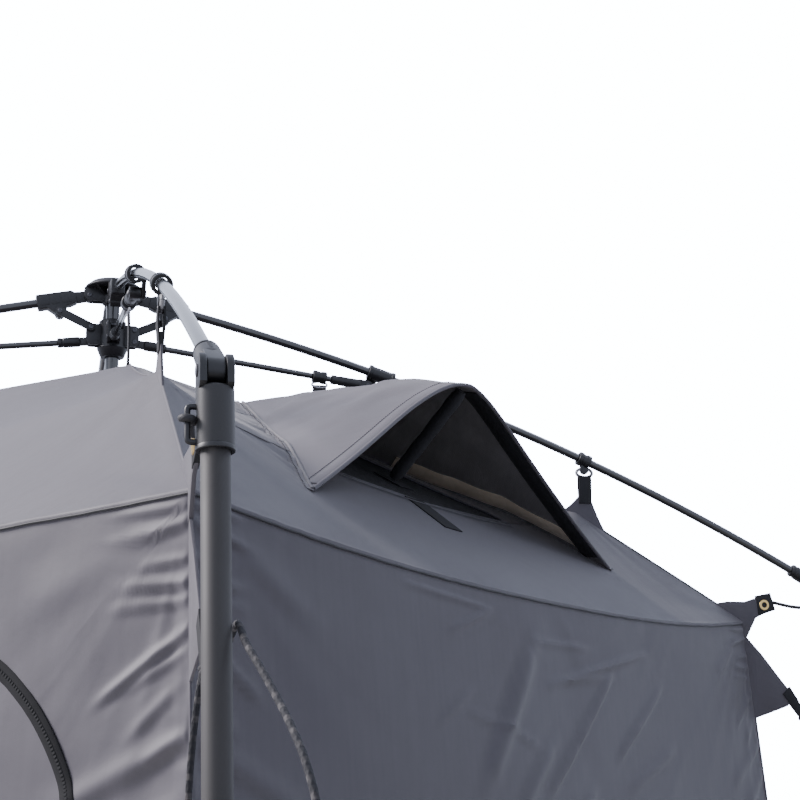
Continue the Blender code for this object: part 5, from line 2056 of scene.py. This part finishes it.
@dataclass
class Hub:
    """Cap, post and runner at the middle of the umbrella frame, with sizes in millimetres."""

    core: float = 12.0
    post: float = 7.5
    post_foot: float = -122.0
    cap: float = 31.0
    cap_rib: float = 1.4
    ears: tuple[float, float] = (3.8, 7.0)
    runner_top: float = -28.0
    runner_foot: float = -70.0

    def build(self) -> None:
        """Make the three pieces."""
        self.make_cap()
        self.make_post()
        self.make_runner()

    def corner_ears(self, outline: Sequence[tuple[float, float]], corner: Corner) -> Shape:
        """Return the pair of ears for one corner, turned into place.

        Args:
            outline: Outline of an ear.
            corner: Corner of the ears.

        Returns:
            Shape of the pair.
        """
        pair = Shape()
        for way in (1, -1):
            low, high = sorted(way * y * MM for y in self.ears)
            pair.slab(outline, low, high, 0.5 * MM)
        return pair.placed(corner.turn)

    def screw_spot(self, corner: Corner, pivot: np.ndarray, way: int) -> tuple[Point, Point]:
        """Return the place and direction of the screw on one side of a pivot's ears."""
        place = pivot + SIDEWAYS * way * self.ears[1] * MM
        return world_axis(corner.turn, place), world_axis(corner.turn, SIDEWAYS * way)

    def make_cap(self) -> None:
        """Bevelled cap over the core and the four pairs of ears."""
        shape = Shape()
        base, up = np.array((0.0, 0.0, HUB_Z)), (0, 0, 1)
        cap = self.cap
        shape.turned(base, up, mm(
            (8.5, cap - 2), (9.2, cap - 0.4), (10.2, cap), (11.6, cap - 0.6), (15.4, 25.6), (16.5, 24.4),
            (17, 23), (17, 19.6), (16.2, 19), (16.2, 6), (16.9, 5.4), (16.9, 0.3),
        ), 64)
        inner = self.post + 0.4
        shape.turned(base, up, mm(
            (-8, inner), (-8, self.core - 0.6), (-7.4, self.core), (9, self.core), (9, inner), (-8, inner),
        ), 48)
        for step in range(4):
            angle = math.radians(90 * step)
            way = np.array((math.cos(angle), math.sin(angle), 0.0))
            across = np.array((-way[1], way[0], 0.0)) * self.cap_rib * MM
            low, high = base + way * 11 * MM, base + way * 27 * MM
            top = np.array((low + across, high + across, high - across, low - across))
            foot = top + shift(z=1.0)
            foot[1:3] -= way * 12 * MM
            shape.loft([foot, top + shift(z=8.8)])
        ear = arc((RIB_PIVOT[0], HUB_Z), 6 * MM, -90, 0, 8) + [
            (RIB_PIVOT[0] + 6 * MM, HUB_Z + 9 * MM), (6 * MM, HUB_Z + 9 * MM), (6 * MM, HUB_Z - 6 * MM),
        ]
        spots = []
        for corner in Corner:
            shape.take(self.corner_ears(ear, corner), 0)
            spots += [self.screw_spot(corner, RIB_PIVOT, way) for way in (-1, 1)]
        fasten(shape, "cap_screws", spots, 1, 2.6 * MM)
        settle("hub_cap", shape, [BLACK_PLASTIC, DARK_METAL], "hub", ["upper_hub"])

    def make_post(self) -> None:
        """Post that the runner slides on, with its stop."""
        shape = Shape()
        shape.turned((0, 0, HUB_Z + self.post_foot * MM), (0, 0, 1), mm(
            (0.0, 8), (0.6, 10.4), (1.6, 11), (5, 11), (6, 10.2), (6.2, self.post), (126, self.post),
        ), 40)
        settle("post_and_stop", shape, [GLASS_FIBRE], "hub", ["hub_post"])

    def make_runner(self) -> None:
        """Sliding runner with a cup at its foot and a slotted ear at each corner."""
        shape = Shape()
        inner = self.post + 0.8
        height = self.runner_top - self.runner_foot
        shape.turned((0, 0, HUB_Z + self.runner_foot * MM), (0, 0, 1), mm(
            (0.0, inner), (0.0, 12.4), (0.8, 13.4), (8.5, 16.4), (9.6, 17), (11, 16.8), (11.6, 15),
            (height - 1.2, 15), (height, 14), (height, inner), (0.0, inner),
        ), 56)
        ear = (
            arc((STRETCHER_PIVOT[0], STRETCHER_PIVOT[2]), 5 * MM, -90, 0, 8)
            + arc((LINK_PIVOT[0], LINK_PIVOT[2]), 5 * MM, 0, 90, 8)
            + [(10 * MM, LINK_PIVOT[2] + 5 * MM), (10 * MM, STRETCHER_PIVOT[2] - 5 * MM)]
        )
        spots = []
        for corner in Corner:
            shape.take(self.corner_ears(ear, corner), 0)
            spots += [self.screw_spot(corner, pivot, -1) for pivot in (LINK_PIVOT, STRETCHER_PIVOT)]
        fasten(shape, "runner_screws", spots, 1)
        settle("hub_runner", shape, [BLACK_PLASTIC, DARK_METAL], "runner", ["lower_hub"])


@dataclass
class CornerPieces:
    """Pieces of one corner, shaped in the corner frame."""

    corner: Corner

    def settle(
        self, name: str, shape: Shape, finishes: Sequence[Finish], body: str, slot: str, node: str
    ) -> None:
        """Turn a piece into this corner and hand it to the frame.

        Args:
            name: Name of the piece, without the corner.
            shape: Its surfaces, in the corner frame.
            finishes: Finish of each material slot.
            body: Body that it rides on, without the corner.
            node: Node that it stands for, without the corner.
        """
        label = self.corner.label
        placed = shape.placed(self.corner.turn)
        settle(f"{name}_{label}", placed, finishes, f"{body}_{label}", [f"{node}_{label}"])


@dataclass
class Rib(CornerPieces):
    """Arm, bowed rod, collar, stretcher, link and roof hangers at one corner.

    Sizes are in millimetres.
    """

    rod: float = 4.75
    stretcher_rod: float = 3.45
    arm_length: float = 58.0
    lap_inner: float = 7.3
    lap_outer: float = 10.8
    strap_half: float = 8.0
    gusset_reach: float = 34.0

    def build(self) -> None:
        """Make the pieces of this corner."""
        self.make_arm()
        self.make_rod()
        self.make_collar()
        self.make_stretcher()
        self.make_link()
        self.make_rib_hanger()
        self.make_stretcher_hanger()

    def make_arm(self) -> None:
        """Box-section arm with its tongue, lug and stiffening ribs."""
        half = self.arm_length / 2 * MM
        aim = rib_direction(half)
        over = square_to(aim)
        middle = rib_point(half) - aim * half

        def spots_at(*places: tuple[float, float]) -> list[tuple[float, float]]:
            """Return outline points at distances along and above the arm's middle line."""
            points = [middle + aim * along * MM + over * above * MM for along, above in places]
            return [(float(point[0]), float(point[2])) for point in points]

        shape = Shape()
        tongue = arc((RIB_PIVOT[0], RIB_PIVOT[2]), 5.5 * MM, 80, 260, 12) + spots_at((22, -6), (22, 7))
        shape.plate(tongue, 3.4, 0.4)
        lug = arc((LUG_PIVOT[0], LUG_PIVOT[2]), 5.5 * MM, 190, 350, 14)
        section = spots_at((15, -6), (22, -8), (26, -8)) + lug + spots_at(
            (48, -8), (57.2, -8), (58, -7), (58, 7), (57.2, 8), (19, 8), (15, 5)
        )
        shape.plate(section, 7, 0.7)
        for low, high in ((21, 31), (33, 43), (45, 55)):
            panel = spots_at((low, 5.6), (low, -5.2), (high, -5.2), (high, 5.6))
            for way in (-1, 1):
                ends = sorted((way * 6.9 * MM, way * 7.35 * MM))
                shape.slab(panel, ends[0], ends[1], 0.15 * MM)
        fasten(shape, f"arm_screws_{self.corner.label}", [(LUG_PIVOT + shift(y=-7), -SIDEWAYS)], 1)
        self.settle("arm", shape, [BLACK_PLASTIC, DARK_METAL], "rib", "black_plastic", "rib_arm")

    def make_rod(self) -> None:
        """Bowed glass-fibre rod with its end socket in the knuckle."""
        shape = Shape()
        last = RIB_LENGTH - 28 * MM
        bow = [rib_point(a) for a in np.linspace((self.arm_length - 3) * MM, last, 90)]
        shape.tube(bow, self.rod * MM, sides=20)
        aim = rib_direction(RIB_LENGTH)
        over = square_to(aim)
        base = KNUCKLE - aim * 44 * MM
        shape.turned(base, aim, mm(
            (0.0, 5.2), (0.4, 7.2), (1.4, 7.9), (3.6, 8.1), (4.2, 7.5), (6.4, 7.5), (7.2, 8.2), (22, 8.5),
            (26, 8.2), (29, 6.5),
        ), 40, slot=1)
        shape.plate(capsule(KNUCKLE - aim * 18 * MM, KNUCKLE, 8 * MM, 16), 5, 0.6, slot=1)
        shape.rod(KNUCKLE + shift(y=-9.6), KNUCKLE + shift(y=9.6), 3 * MM, edge=0.3 * MM, slot=2)
        dimple = Shape()
        dimple.turned((0, 0, 0), (0, 0, 1), mm((-0.6, 1.5), (0.2, 1.4), (0.5, 0.8), (0.55, 0.1)), 10)
        places = np.array([base + aim * (9 + 2.4 * i) * MM + over * 8.2 * MM for i in range(6)])
        facing = np.tile(over, (len(places), 1))
        grips = repeated(
            f"socket_grips_{self.corner.label}", places, facing, dimple, 0.0, BLACK_PLASTIC
        )
        shape.take(grips, 1)
        finishes = [GLASS_FIBRE, BLACK_PLASTIC, DARK_METAL]
        self.settle("rod", shape, finishes, "rib", "black_rod", "rib_rod")

    def lap(self, shape: Shape, first: np.ndarray, second: np.ndarray, radius: float) -> None:
        """Add the flat bar between two pivots that laps outside the ears."""
        bar = capsule(first, second, radius * MM, 14)
        shape.slab(bar, self.lap_inner * MM, self.lap_outer * MM, 0.5 * MM)

    def make_collar(self) -> None:
        """Sliding collar with flanged ends and the arm that the stretcher hangs from."""
        centre, aim = rib_point(COLLAR_AT), rib_direction(COLLAR_AT)
        pivot = stretcher_outer_pivot()
        shape = Shape()
        bore = self.rod + 0.9
        shape.turned(centre - aim * 16 * MM, aim, mm(
            (0.0, bore), (0.0, 8.4), (0.5, 8.9), (4, 8.9), (4.6, 8.2), (27.4, 8.2), (28, 8.9), (31.5, 8.9),
            (32, 8.4), (32, bore), (0.0, bore),
        ), 40)
        self.lap(shape, pivot, centre - aim * 6 * MM, 6)
        spots = [(pivot + shift(y=self.lap_outer), SIDEWAYS)]
        fasten(shape, f"collar_screw_{self.corner.label}", spots, 1)
        self.settle("collar", shape, [BLACK_PLASTIC, DARK_METAL], "collar", "black_plastic", "rib_collar")

    def make_stretcher(self) -> None:
        """Thin rod with moulded sockets and the clip that the roof's top hangs from."""
        inner, outer = STRETCHER_PIVOT, stretcher_outer_pivot()
        aim = unit(outer - inner)
        shape = Shape()
        shape.plate(capsule(inner, inner + aim * 14 * MM, 4.2 * MM, 12), 3.4, 0.4)
        socket = (
            (0.0, 4.4), (1, 5.3), (2.5, 5.8), (24, 5.6), (25, 5.0), (27, 5.0), (28, 5.6), (32.4, 5.4),
            (33, 4.6),
        )
        full = socket[-1][0]
        for base, way, length in ((inner + aim * 11 * MM, aim, 25), (outer - aim * 8 * MM, -aim, 36)):
            shape.turned(base, way, mm(*((h * length / full, r) for h, r in socket)), 28)
        start, end = inner + aim * 32 * MM, outer - aim * 40 * MM
        shape.rod(start, end, self.stretcher_rod * MM, sides=18, slot=1)
        eye = capsule(outer - aim * 10 * MM, outer, 5.6 * MM, 12)
        shape.slab(eye, -3.8 * MM, 7.0 * MM, 0.5 * MM)
        clip_at = inner + aim * STRETCHER_CLIP_AT
        shape.turned(clip_at - aim * 8 * MM, aim, mm(
            (0.0, 4.0), (0.0, 6.6), (0.8, 7.3), (4, 7.4), (8, 6.4), (12, 7.4), (15.2, 7.3), (16, 6.6),
            (16, 4.0),
        ), 28)
        spots = [(outer + shift(y=-3.8), -SIDEWAYS)]
        fasten(shape, f"stretcher_screw_{self.corner.label}", spots, 2, 2.4 * MM)
        finishes = [BLACK_PLASTIC, GLASS_FIBRE, DARK_METAL]
        self.settle("stretcher_rod", shape, finishes, "stretcher", "black_rod", "stretcher")

    def make_link(self) -> None:
        """Flat link between the runner and the lug under the arm."""
        shape = Shape()
        self.lap(shape, LINK_PIVOT, LUG_PIVOT, 4.6)
        shape.rod(LINK_PIVOT + shift(y=-7), LINK_PIVOT + shift(y=8), 2 * MM, edge=0.2 * MM, slot=1)
        spots = [(p + shift(y=self.lap_outer), SIDEWAYS) for p in (LINK_PIVOT, LUG_PIVOT)]
        fasten(shape, f"link_screws_{self.corner.label}", spots, 1, 2.6 * MM)
        self.settle("link", shape, [BLACK_PLASTIC, DARK_METAL], "link", "black_plastic", "hub_link")

    def make_rib_hanger(self) -> None:
        """Clip on the rib, pale buckle bar, webbing and the gusset that it lifts."""
        centre, aim = rib_point(CLIP_AT), rib_direction(CLIP_AT)
        shape = Shape()
        bore = self.rod + 0.7
        shape.turned(centre - aim * 8 * MM, aim, mm(
            (0.0, bore), (0.0, 7.6), (0.6, 8.4), (5, 8.5), (6, 7.6), (10, 7.6), (11, 8.5), (15.4, 8.4),
            (16, 7.6), (16, bore), (0.0, bore),
        ), 36)
        lug = centre - shift(z=12.5)
        shape.plate(capsule(centre - shift(z=8), lug, 5 * MM, 12), 2.6, 0.6)
        turns = np.linspace(0, 2 * math.pi, 29)
        ring = [lug + shift(10 * math.cos(a), 0, -3 + 5.4 * math.sin(a)) for a in turns]
        shape.tube(ring, 1.9 * MM, sides=10, slot=1)
        top = FORM.hip_height(centre[0] / math.sqrt(2)) + 33 * MM
        low = np.array((centre[0], 0.0, top))
        strap = [lug + shift(0, 2.2, -7), (low + lug) / 2 + shift(0, 2.6, -4), low + shift(0, 1.5, -6)]
        for way in (1, -1):
            run = smooth_path([p * np.array((1, way, 1)) for p in strap], 4 * MM)
            shape.sweep(run, rectangle(self.strap_half, 0.6), up=(1, 0, 0), slot=2)
        shares = np.linspace(0.12, 0.88, 7)
        curve = []
        for way, steps in ((1, shares), (-1, shares[::-1])):
            foot, neck = centre[0] + way * self.gusset_reach * MM, centre[0] + way * 5 * MM
            base = FORM.hip_height(foot / math.sqrt(2)) - 2 * MM
            side = [(foot + (neck - foot) * s, base + (top - base) * s**1.5) for s in steps]
            curve += [(foot, base), *side, (neck, top)] if way > 0 else [(neck, top), *side, (foot, base)]
        shape.plate(curve, 1.0, 0.4, slot=3)
        patch = [(centre[0] + x * MM, top + z * MM) for x, z in ((-8, 1), (-8, -13), (8, -13), (8, 1))]
        shape.plate(patch, 2.0, 0.4, slot=2)
        finishes = [BLACK_PLASTIC, BUCKLE, WEBBING, CABIN_CLOTH]
        self.settle("roof_hanger", shape, finishes, "rib", "black_webbing", "roof")

    def make_stretcher_hanger(self) -> None:
        """Short strap between the stretcher's clip and the top of the roof."""
        inner, outer = STRETCHER_PIVOT, stretcher_outer_pivot()
        hang = inner + unit(outer - inner) * STRETCHER_CLIP_AT
        hip_z = FORM.hip_height(hang[0] / math.sqrt(2))
        shape = Shape()
        path = [
            hang - shift(z=9.6), (hang[0], 0.8 * MM, (hang[2] + hip_z) / 2),
            (hang[0], 0.0, hip_z + 1.0 * MM),
        ]
        shape.sweep(smooth_path(path, 3 * MM), rectangle(self.strap_half, 0.9), up=(1, 0, 0), slot=0)
        turns = np.linspace(0, 2 * math.pi, 25)
        ring = [hang + shift(9 * math.cos(a), 0, -9.0 + 3.4 * math.sin(a)) for a in turns]
        shape.tube(ring, 1.2 * MM, sides=8, slot=1)
        foot = ((-11, -3), (11, -4), (6.5, 9), (-6.5, 9))
        shape.plate([(hang[0] + x * MM, hip_z + z * MM) for x, z in foot], 1.6, 0.4, slot=0)
        self.settle("top_hanger", shape, [WEBBING, STEEL], "stretcher", "black_webbing", "roof")


@dataclass
class Leg(CornerPieces):
    """Knuckle, telescopic tubes and foot at one corner, with sizes in millimetres."""

    upper: float = 8.2
    upper_bore: float = 7.3
    upper_start: float = 16.3
    upper_length: float = 1000.0
    lower: float = 7.0
    overlap: float = 75.0
    hook_out: float = 15.0
    clamp_ridges: int = 24

    def build(self) -> None:
        """Make the pieces of this leg."""
        self.make_knuckle()
        self.make_upper()
        self.make_lower()

    def make_knuckle(self) -> None:
        """Clevis with a scalloped foot, sleeve, end ring and the hook for the elastic."""
        shape = Shape()
        back = -square_to(LEG_DOWN)

        def spot(down: float, out: float) -> tuple[float, float]:
            """Return an outline point down the leg from the knuckle and out from its middle."""
            point = KNUCKLE + LEG_DOWN * down * MM + back * out * MM
            return float(point[0]), float(point[2])

        angle = math.degrees(math.atan2(-LEG_DOWN[2], -LEG_DOWN[0]))
        dome = arc((KNUCKLE[0], KNUCKLE[2]), 10 * MM, angle - 90, angle + 90, 22)
        outward = (dome[0][0] - KNUCKLE[0]) * back[0] + (dome[0][1] - KNUCKLE[2]) * back[2]
        way = 1 if outward > 0 else -1
        scallop = ((9, -10), (11, -8), (12, -4.5), (10.6, 0), (12, 4.5), (11, 8), (9, 10))
        skirt = [spot(down, out * way) for down, out in scallop]
        for low, high in ((5.4 * MM, 9.6 * MM), (-9.6 * MM, -5.4 * MM)):
            shape.slab(dome + skirt, low, high, 0.7 * MM)
        bore = self.upper + 0.35
        shape.turned(KNUCKLE + LEG_DOWN * 10 * MM, LEG_DOWN, mm(
            (0.0, 0.2), (0.0, 9.9), (0.8, 10.5), (33.0, 10.7), (33.4, bore), (6.2, bore), (6.2, 0.2),
            (0.0, 0.2),
        ), 44, slot=1)
        shape.turned(KNUCKLE + LEG_DOWN * 43 * MM, LEG_DOWN, mm(
            (0.0, bore), (0.0, 10.6), (0.5, 10.9), (2.6, 10.9), (3.0, 10.5), (3.0, bore), (0.0, bore),
        ), 44, slot=0)
        roots = [KNUCKLE + LEG_DOWN * at * MM + shift(y=-9.8) for at in (21, 41)]
        bends = [KNUCKLE + LEG_DOWN * at * MM + shift(y=-self.hook_out) for at in (22.6, 39.4)]
        reach = shift(y=9.8 - self.hook_out) * 0.7
        loop = [roots[0], roots[0] + reach, bends[0], (bends[0] + bends[1]) / 2, bends[1]]
        loop += [roots[1] + reach, roots[1]]
        shape.tube(smooth_path(loop, 0.8 * MM), 1.75 * MM, sides=12, slot=0)
        spots = [(KNUCKLE + shift(y=9.6 * way), SIDEWAYS * way) for way in (-1, 1)]
        fasten(shape, f"knuckle_screws_{self.corner.label}", spots, 2, 3.6 * MM)
        finishes = [BLACK_PLASTIC, SLEEVE_PLASTIC, DARK_METAL]
        self.settle("knuckle_block", shape, finishes, "leg", "black_plastic", "knuckle")

    def make_upper(self) -> None:
        """Upper tube with the clamp at its foot."""
        shape = Shape()
        upper, bore = self.upper, self.upper_bore
        length = self.upper_length - self.upper_start
        shape.turned(KNUCKLE + LEG_DOWN * self.upper_start * MM, LEG_DOWN, mm(
            (0.0, bore), (0.0, upper - 0.2), (0.3, upper), (300, upper), (600, upper), (length, upper),
            (length, bore), (0.0, bore),
        ), 40)
        end = KNUCKLE + LEG_DOWN * self.upper_length * MM
        shape.turned(end - LEG_DOWN * 36 * MM, LEG_DOWN, mm(
            (0.0, upper), (0.0, 9.6), (1.2, 10.6), (11, 10.9), (12, 11.5), (34, 11.5), (36.5, 10.6),
            (38, 9.2), (38, bore), (36.2, bore), (36.2, upper), (0.0, upper),
        ), 40, slot=1)
        ridge = Shape()
        ridge.plate(mm((-10, -0.5), (10, -0.5), (9.4, 0.45), (-9.4, 0.45)), 0.7)
        angles = np.linspace(0, 2 * math.pi, self.clamp_ridges, endpoint=False)[:, None]
        facing = square_to(LEG_DOWN) * np.cos(angles) + SIDEWAYS * np.sin(angles)
        places = end - LEG_DOWN * 13 * MM + facing * 11.4 * MM
        name = f"clamp_ridges_{self.corner.label}"
        grips = repeated(name, places, facing, ridge, 0.0, BLACK_PLASTIC, tuple(LEG_DOWN))
        shape.take(grips, 1)
        self.settle("upper_tube", shape, [LEG_TUBE, BLACK_PLASTIC], "leg", "grey_metal", "leg_upper")

    def make_lower(self) -> None:
        """Lower tube with its moulded foot."""
        shape = Shape()
        foot = KNUCKLE + LEG_DOWN * LEG_LENGTH
        top = KNUCKLE + LEG_DOWN * (self.upper_length - self.overlap) * MM
        shape.rod(top, foot - LEG_DOWN * 14 * MM, self.lower * MM, edge=0.5 * MM, sides=36)
        sole = mm((0.0, 15.5), (0.6, 17.2), (2, 18), (6, 18), (8, 17.3), (9, 15.2))
        shape.turned(foot, (0, 0, 1), sole, 48, slot=1)
        rings = []
        level, far = foot + shift(z=8.6), foot - LEG_DOWN * 34 * MM
        flat, tilted = np.array((1.0, 0, 0)), square_to(LEG_DOWN)
        tilted = tilted if tilted[0] > 0 else -tilted
        angles = np.linspace(0, 2 * math.pi, 40, endpoint=False)[:, None]
        for share in np.linspace(0, 1, 9):
            radius = (15 + (9.6 - 15) * share**0.6) * MM
            centre = level + (far - level) * share
            lean = unit(flat * (1 - share) + tilted * share)
            rings.append(centre + radius * (np.cos(angles) * lean + np.sin(angles) * SIDEWAYS))
        shape.loft(rings, slot=1)
        self.settle("lower_tube", shape, [LEG_TUBE, RUBBER], "lower_leg", "grey_metal", "leg_lower")


@dataclass
class GuyLines:
    """Pegged lines, their pegs and the slack line at the near corner, with sizes in millimetres.

    Places are in metres in the corner frame.
    """

    radius: float = 2.0
    peg_out: float = 1.430
    peg_aside: float = 0.110
    peg_radius: float = 3.0
    peg_height: float = 45.0
    peg_bend: float = 8.0
    nose: tuple[float, float, float] = (0.8425, 0.0, 1.7760)
    nose_way: tuple[float, float, float] = (0.518, 0.0, -0.855)
    sides: tuple[tuple[Corner, int], ...] = (
        (Corner.BACK_RIGHT, -1), (Corner.BACK_LEFT, 1), (Corner.FRONT_LEFT, -1),
    )
    loose_route: tuple[tuple[float, float, float], ...] = (
        (0.8461, 0.0022, 1.7751), (0.8540, 0.0092, 1.7830), (0.8660, 0.0118, 1.7925),
        (0.8800, 0.0122, 1.7966), (0.8930, 0.0122, 1.7935), (0.9050, 0.0132, 1.7845),
        (0.9250, 0.0183, 1.7690), (0.9450, 0.0229, 1.7535), (0.9650, 0.0262, 1.7390),
        (0.9850, 0.0293, 1.7215), (1.0030, 0.0318, 1.6960), (1.0170, 0.0333, 1.6550),
        (1.0270, 0.0340, 1.5800), (1.0220, 0.034, 1.4600), (0.9980, 0.034, 1.2800),
        (0.9700, 0.033, 1.1200), (0.9400, 0.031, 0.9900), (0.9180, 0.027, 0.9100),
        (0.8990, 0.020, 0.8850), (0.8850, 0.010, 0.9000), (0.8770, 0.000, 0.9650),
        (0.8690, -0.008, 1.0900), (0.8570, -0.011, 1.2800), (0.8470, -0.011, 1.4700),
        (0.8390, -0.010, 1.6300), (0.8362, -0.007, 1.7100), (0.8378, -0.004, 1.7500),
        (0.84151, -0.001, 1.77339),
    )

    def make_loose_line(self) -> None:
        """Slack line that hangs in a loop from the near corner's tab, with its knot."""
        corner = Corner.FRONT_RIGHT
        body, fold = f"leg_{corner.label}", Cabin().tab_fold(corner)
        route = smooth_path(self.loose_route, 4 * MM)
        placed = np.array([world_axis(corner.turn, p) for p in route])
        shape = Shape()
        shape.tube(placed, self.radius * MM, sides=12)
        line = settle(
            "slack_line", shape, [GUY_LINE], body, ["loose_guy_rope"], fold, 60.0
        )
        knot = Shape()
        self.add_knot(knot, np.array(self.nose) + np.array(self.nose_way) * 4.5 * MM)
        bow = settle(
            "slack_line_knot", knot.placed(corner.turn), [GUY_LINE], body, [], fold, 60.0
        )

    def add_knot(self, shape: Shape, centre: np.ndarray, size: float = 1.55) -> None:
        """Add an overhand knot about a point.

        Args:
            shape: Shape of the line.
            centre: Middle of the knot.
            size: Scale of the knot's curve in millimetres.
        """
        t = np.linspace(0, 2 * math.pi, 73)[:-1]
        curve = (np.sin(t) + 2 * np.sin(2 * t), -np.sin(3 * t) * 1.3, np.cos(t) - 2 * np.cos(2 * t))
        shape.tube(centre + size * MM * np.stack(curve, axis=1), self.radius * 0.92 * MM, sides=10)

    def build(self) -> None:
        """Make the pegged lines and their pegs."""
        for corner, side in self.sides:
            peg = np.array((self.peg_out, self.peg_aside * side, 0.0))
            self.make_line(corner, peg)
            self.make_peg(corner, peg)

    def make_line(self, corner: Corner, peg: np.ndarray) -> None:
        """Taut line from the tab to its peg, with a knot at the top and a loop round the peg.

        Args:
            corner: Corner that it stands at.
            peg: Foot of the peg in the corner's frame.
        """
        beside = self.peg_radius + self.radius + 0.6
        head = np.array(self.nose) + np.array(self.nose_way) * 0.9 * MM
        foot = peg + shift(-beside, 0.0, self.peg_height - 12)
        shape = Shape()
        shape.tube(head + (foot - head) * np.linspace(0, 1, 60)[:, None], self.radius * MM, sides=12)
        self.add_knot(shape, head + unit(foot - head) * 5 * MM)
        self.add_knot(shape, foot + unit(head - foot) * 26 * MM, 1.3)
        a = np.linspace(0, 2 * math.pi, 41)[:-1]
        loop = (beside * np.cos(a), beside * np.sin(a), foot[2] / MM - 1.5 * np.cos(a))
        shape.tube(peg + np.stack(loop, axis=1) * MM, self.radius * 0.9 * MM, sides=10)
        label = corner.label
        settle(
            f"pegged_line_{label}", shape.placed(corner.turn), [GUY_LINE], f"leg_{label}",
            [f"guy_rope_{label}"], None, 60.0,
        )

    def make_peg(self, corner: Corner, peg: np.ndarray) -> None:
        """Hooked wire peg, as far as it stands out of the ground.

        Args:
            corner: Corner that it stands at.
            peg: Foot of the peg in the corner's frame.
        """
        bend, neck = self.peg_bend, self.peg_height - self.peg_bend
        turns = np.radians(np.linspace(0, 150, 18))
        crook = [peg + shift(bend - bend * math.cos(a), 0, neck + bend * math.sin(a)) for a in turns]
        stem = [peg + shift(z=z) for z in np.linspace(0.0, neck, 8)[:-1]]
        shape = Shape()
        shape.tube(stem + crook, self.peg_radius * MM, sides=16)
        label = corner.label
        settle(
            f"peg_{label}", shape.placed(corner.turn), [STEEL], f"leg_{label}",
            [f"ground_peg_{label}"],
        )


@dataclass
class Studio:
    """Camera at the photograph's angle, soft lights and a pale floor."""

    place: tuple[float, float, float] = (1.1119, -1.2615, 1.7193)
    yaw: float = 28.448
    pitch: float = 9.520
    roll: float = -1.045
    focal: float = 67.692
    shift: tuple[float, float] = (-0.06205, 0.14350)
    ambient: float = 0.135
    mirrored: float = 1.3
    backdrop: float = 18.0
    floor_half: float = 6.0

    def build(self) -> None:
        """Set the camera, the lights, the sky and the floor."""
        self.make_camera()
        self.make_lights()
        self.make_floor()

    def make_camera(self) -> None:
        """Place the camera."""
        yaw, pitch, roll = (math.radians(a) for a in (self.yaw, self.pitch, self.roll))
        level = math.cos(pitch)
        forward = Vector((-math.sin(yaw) * level, math.cos(yaw) * level, math.sin(pitch)))
        right = Vector((math.cos(yaw), math.sin(yaw), 0.0))
        up = right.cross(forward)
        right, up = (
            right * math.cos(roll) + up * math.sin(roll),
            up * math.cos(roll) - right * math.sin(roll),
        )
        camera = bpy.data.cameras.new("camera")
        camera.lens = self.focal
        camera.sensor_width = 36.0
        camera.sensor_fit = "HORIZONTAL"
        camera.shift_x, camera.shift_y = self.shift
        camera.clip_start = 0.02
        camera.clip_end = 200.0
        eye = bpy.data.objects.new("camera", camera)
        turn = Matrix((right, up, -forward)).transposed().to_4x4()
        eye.matrix_world = Matrix.Translation(self.place) @ turn
        bpy.context.scene.collection.objects.link(eye)
        bpy.context.scene.camera = eye

    def make_lights(self) -> None:
        """Bright even sky with a large soft lamp from the front left."""
        sky = bpy.data.worlds.new("sky")
        bpy.context.scene.world = sky
        sky.use_nodes = True
        graph = Graph(sky.node_tree)
        ray = graph.node("ShaderNodeLightPath")
        glare = graph.remap(ray.outputs["Is Glossy Ray"], 0.0, 1.0, self.ambient, self.mirrored)
        strength = graph.remap(ray.outputs["Is Camera Ray"], 0.0, 1.0, 0.0, self.backdrop)
        background = sky.node_tree.nodes["Background"]
        background.inputs["Color"].default_value = (0.84, 0.91, 1.12, 1.0)
        graph.feed(background.inputs["Strength"], graph.math("MAXIMUM", glare, strength))
        for name, place, target, size, power, colour in (
            ("key", (-3.9, -2.3, 5.3), (0.0, 0.0, 1.8), 2.0, 590.0, (1.0, 0.955, 0.975)),
            ("fill", (-0.6, -5.5, 2.6), (0.0, 0.0, 1.8), 2.4, 14.0, (1.0, 0.94, 0.93)),
            ("top", (2.3, 1.4, 5.6), (0.4, 0.0, 1.8), 1.6, 26.0, (0.86, 0.92, 1.12)),
        ):
            lamp = bpy.data.lights.new(name, "AREA")
            lamp.shape = "SQUARE"
            lamp.size = size
            lamp.energy = power
            lamp.color = colour
            holder = bpy.data.objects.new(name, lamp)
            holder.location = place
            aim = Vector(target) - Vector(place)
            holder.rotation_euler = aim.to_track_quat("-Z", "Y").to_euler()
            bpy.context.scene.collection.objects.link(holder)

    def make_floor(self) -> None:
        """Lay a pale floor with a faint grain."""
        mesh = bpy.data.meshes.new("floor")
        half, level = self.floor_half, -0.5 * MM
        corners = [(-half, -half, level), (half, -half, level), (half, half, level), (-half, half, level)]
        mesh.from_pydata(corners, [], [(0, 1, 2, 3)])
        floor = bpy.data.objects.new("floor", mesh)
        bpy.context.scene.collection.objects.link(floor)
        mesh.materials.append(Finish("pale floor", (0.80, 0.80, 0.79), 0.75, dust=0.0).material())


def main() -> None:
    """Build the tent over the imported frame."""
    logging.basicConfig(level=logging.INFO, format="%(message)s")
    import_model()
    Studio().build()
    lines = GuyLines()
    lines.make_loose_line()
    lines.build()
    Hub().build()
    for corner in Corner:
        Rib(corner).build()
        Leg(corner).build()
    Cabin().build()


if __name__ == "__main__":
    main()
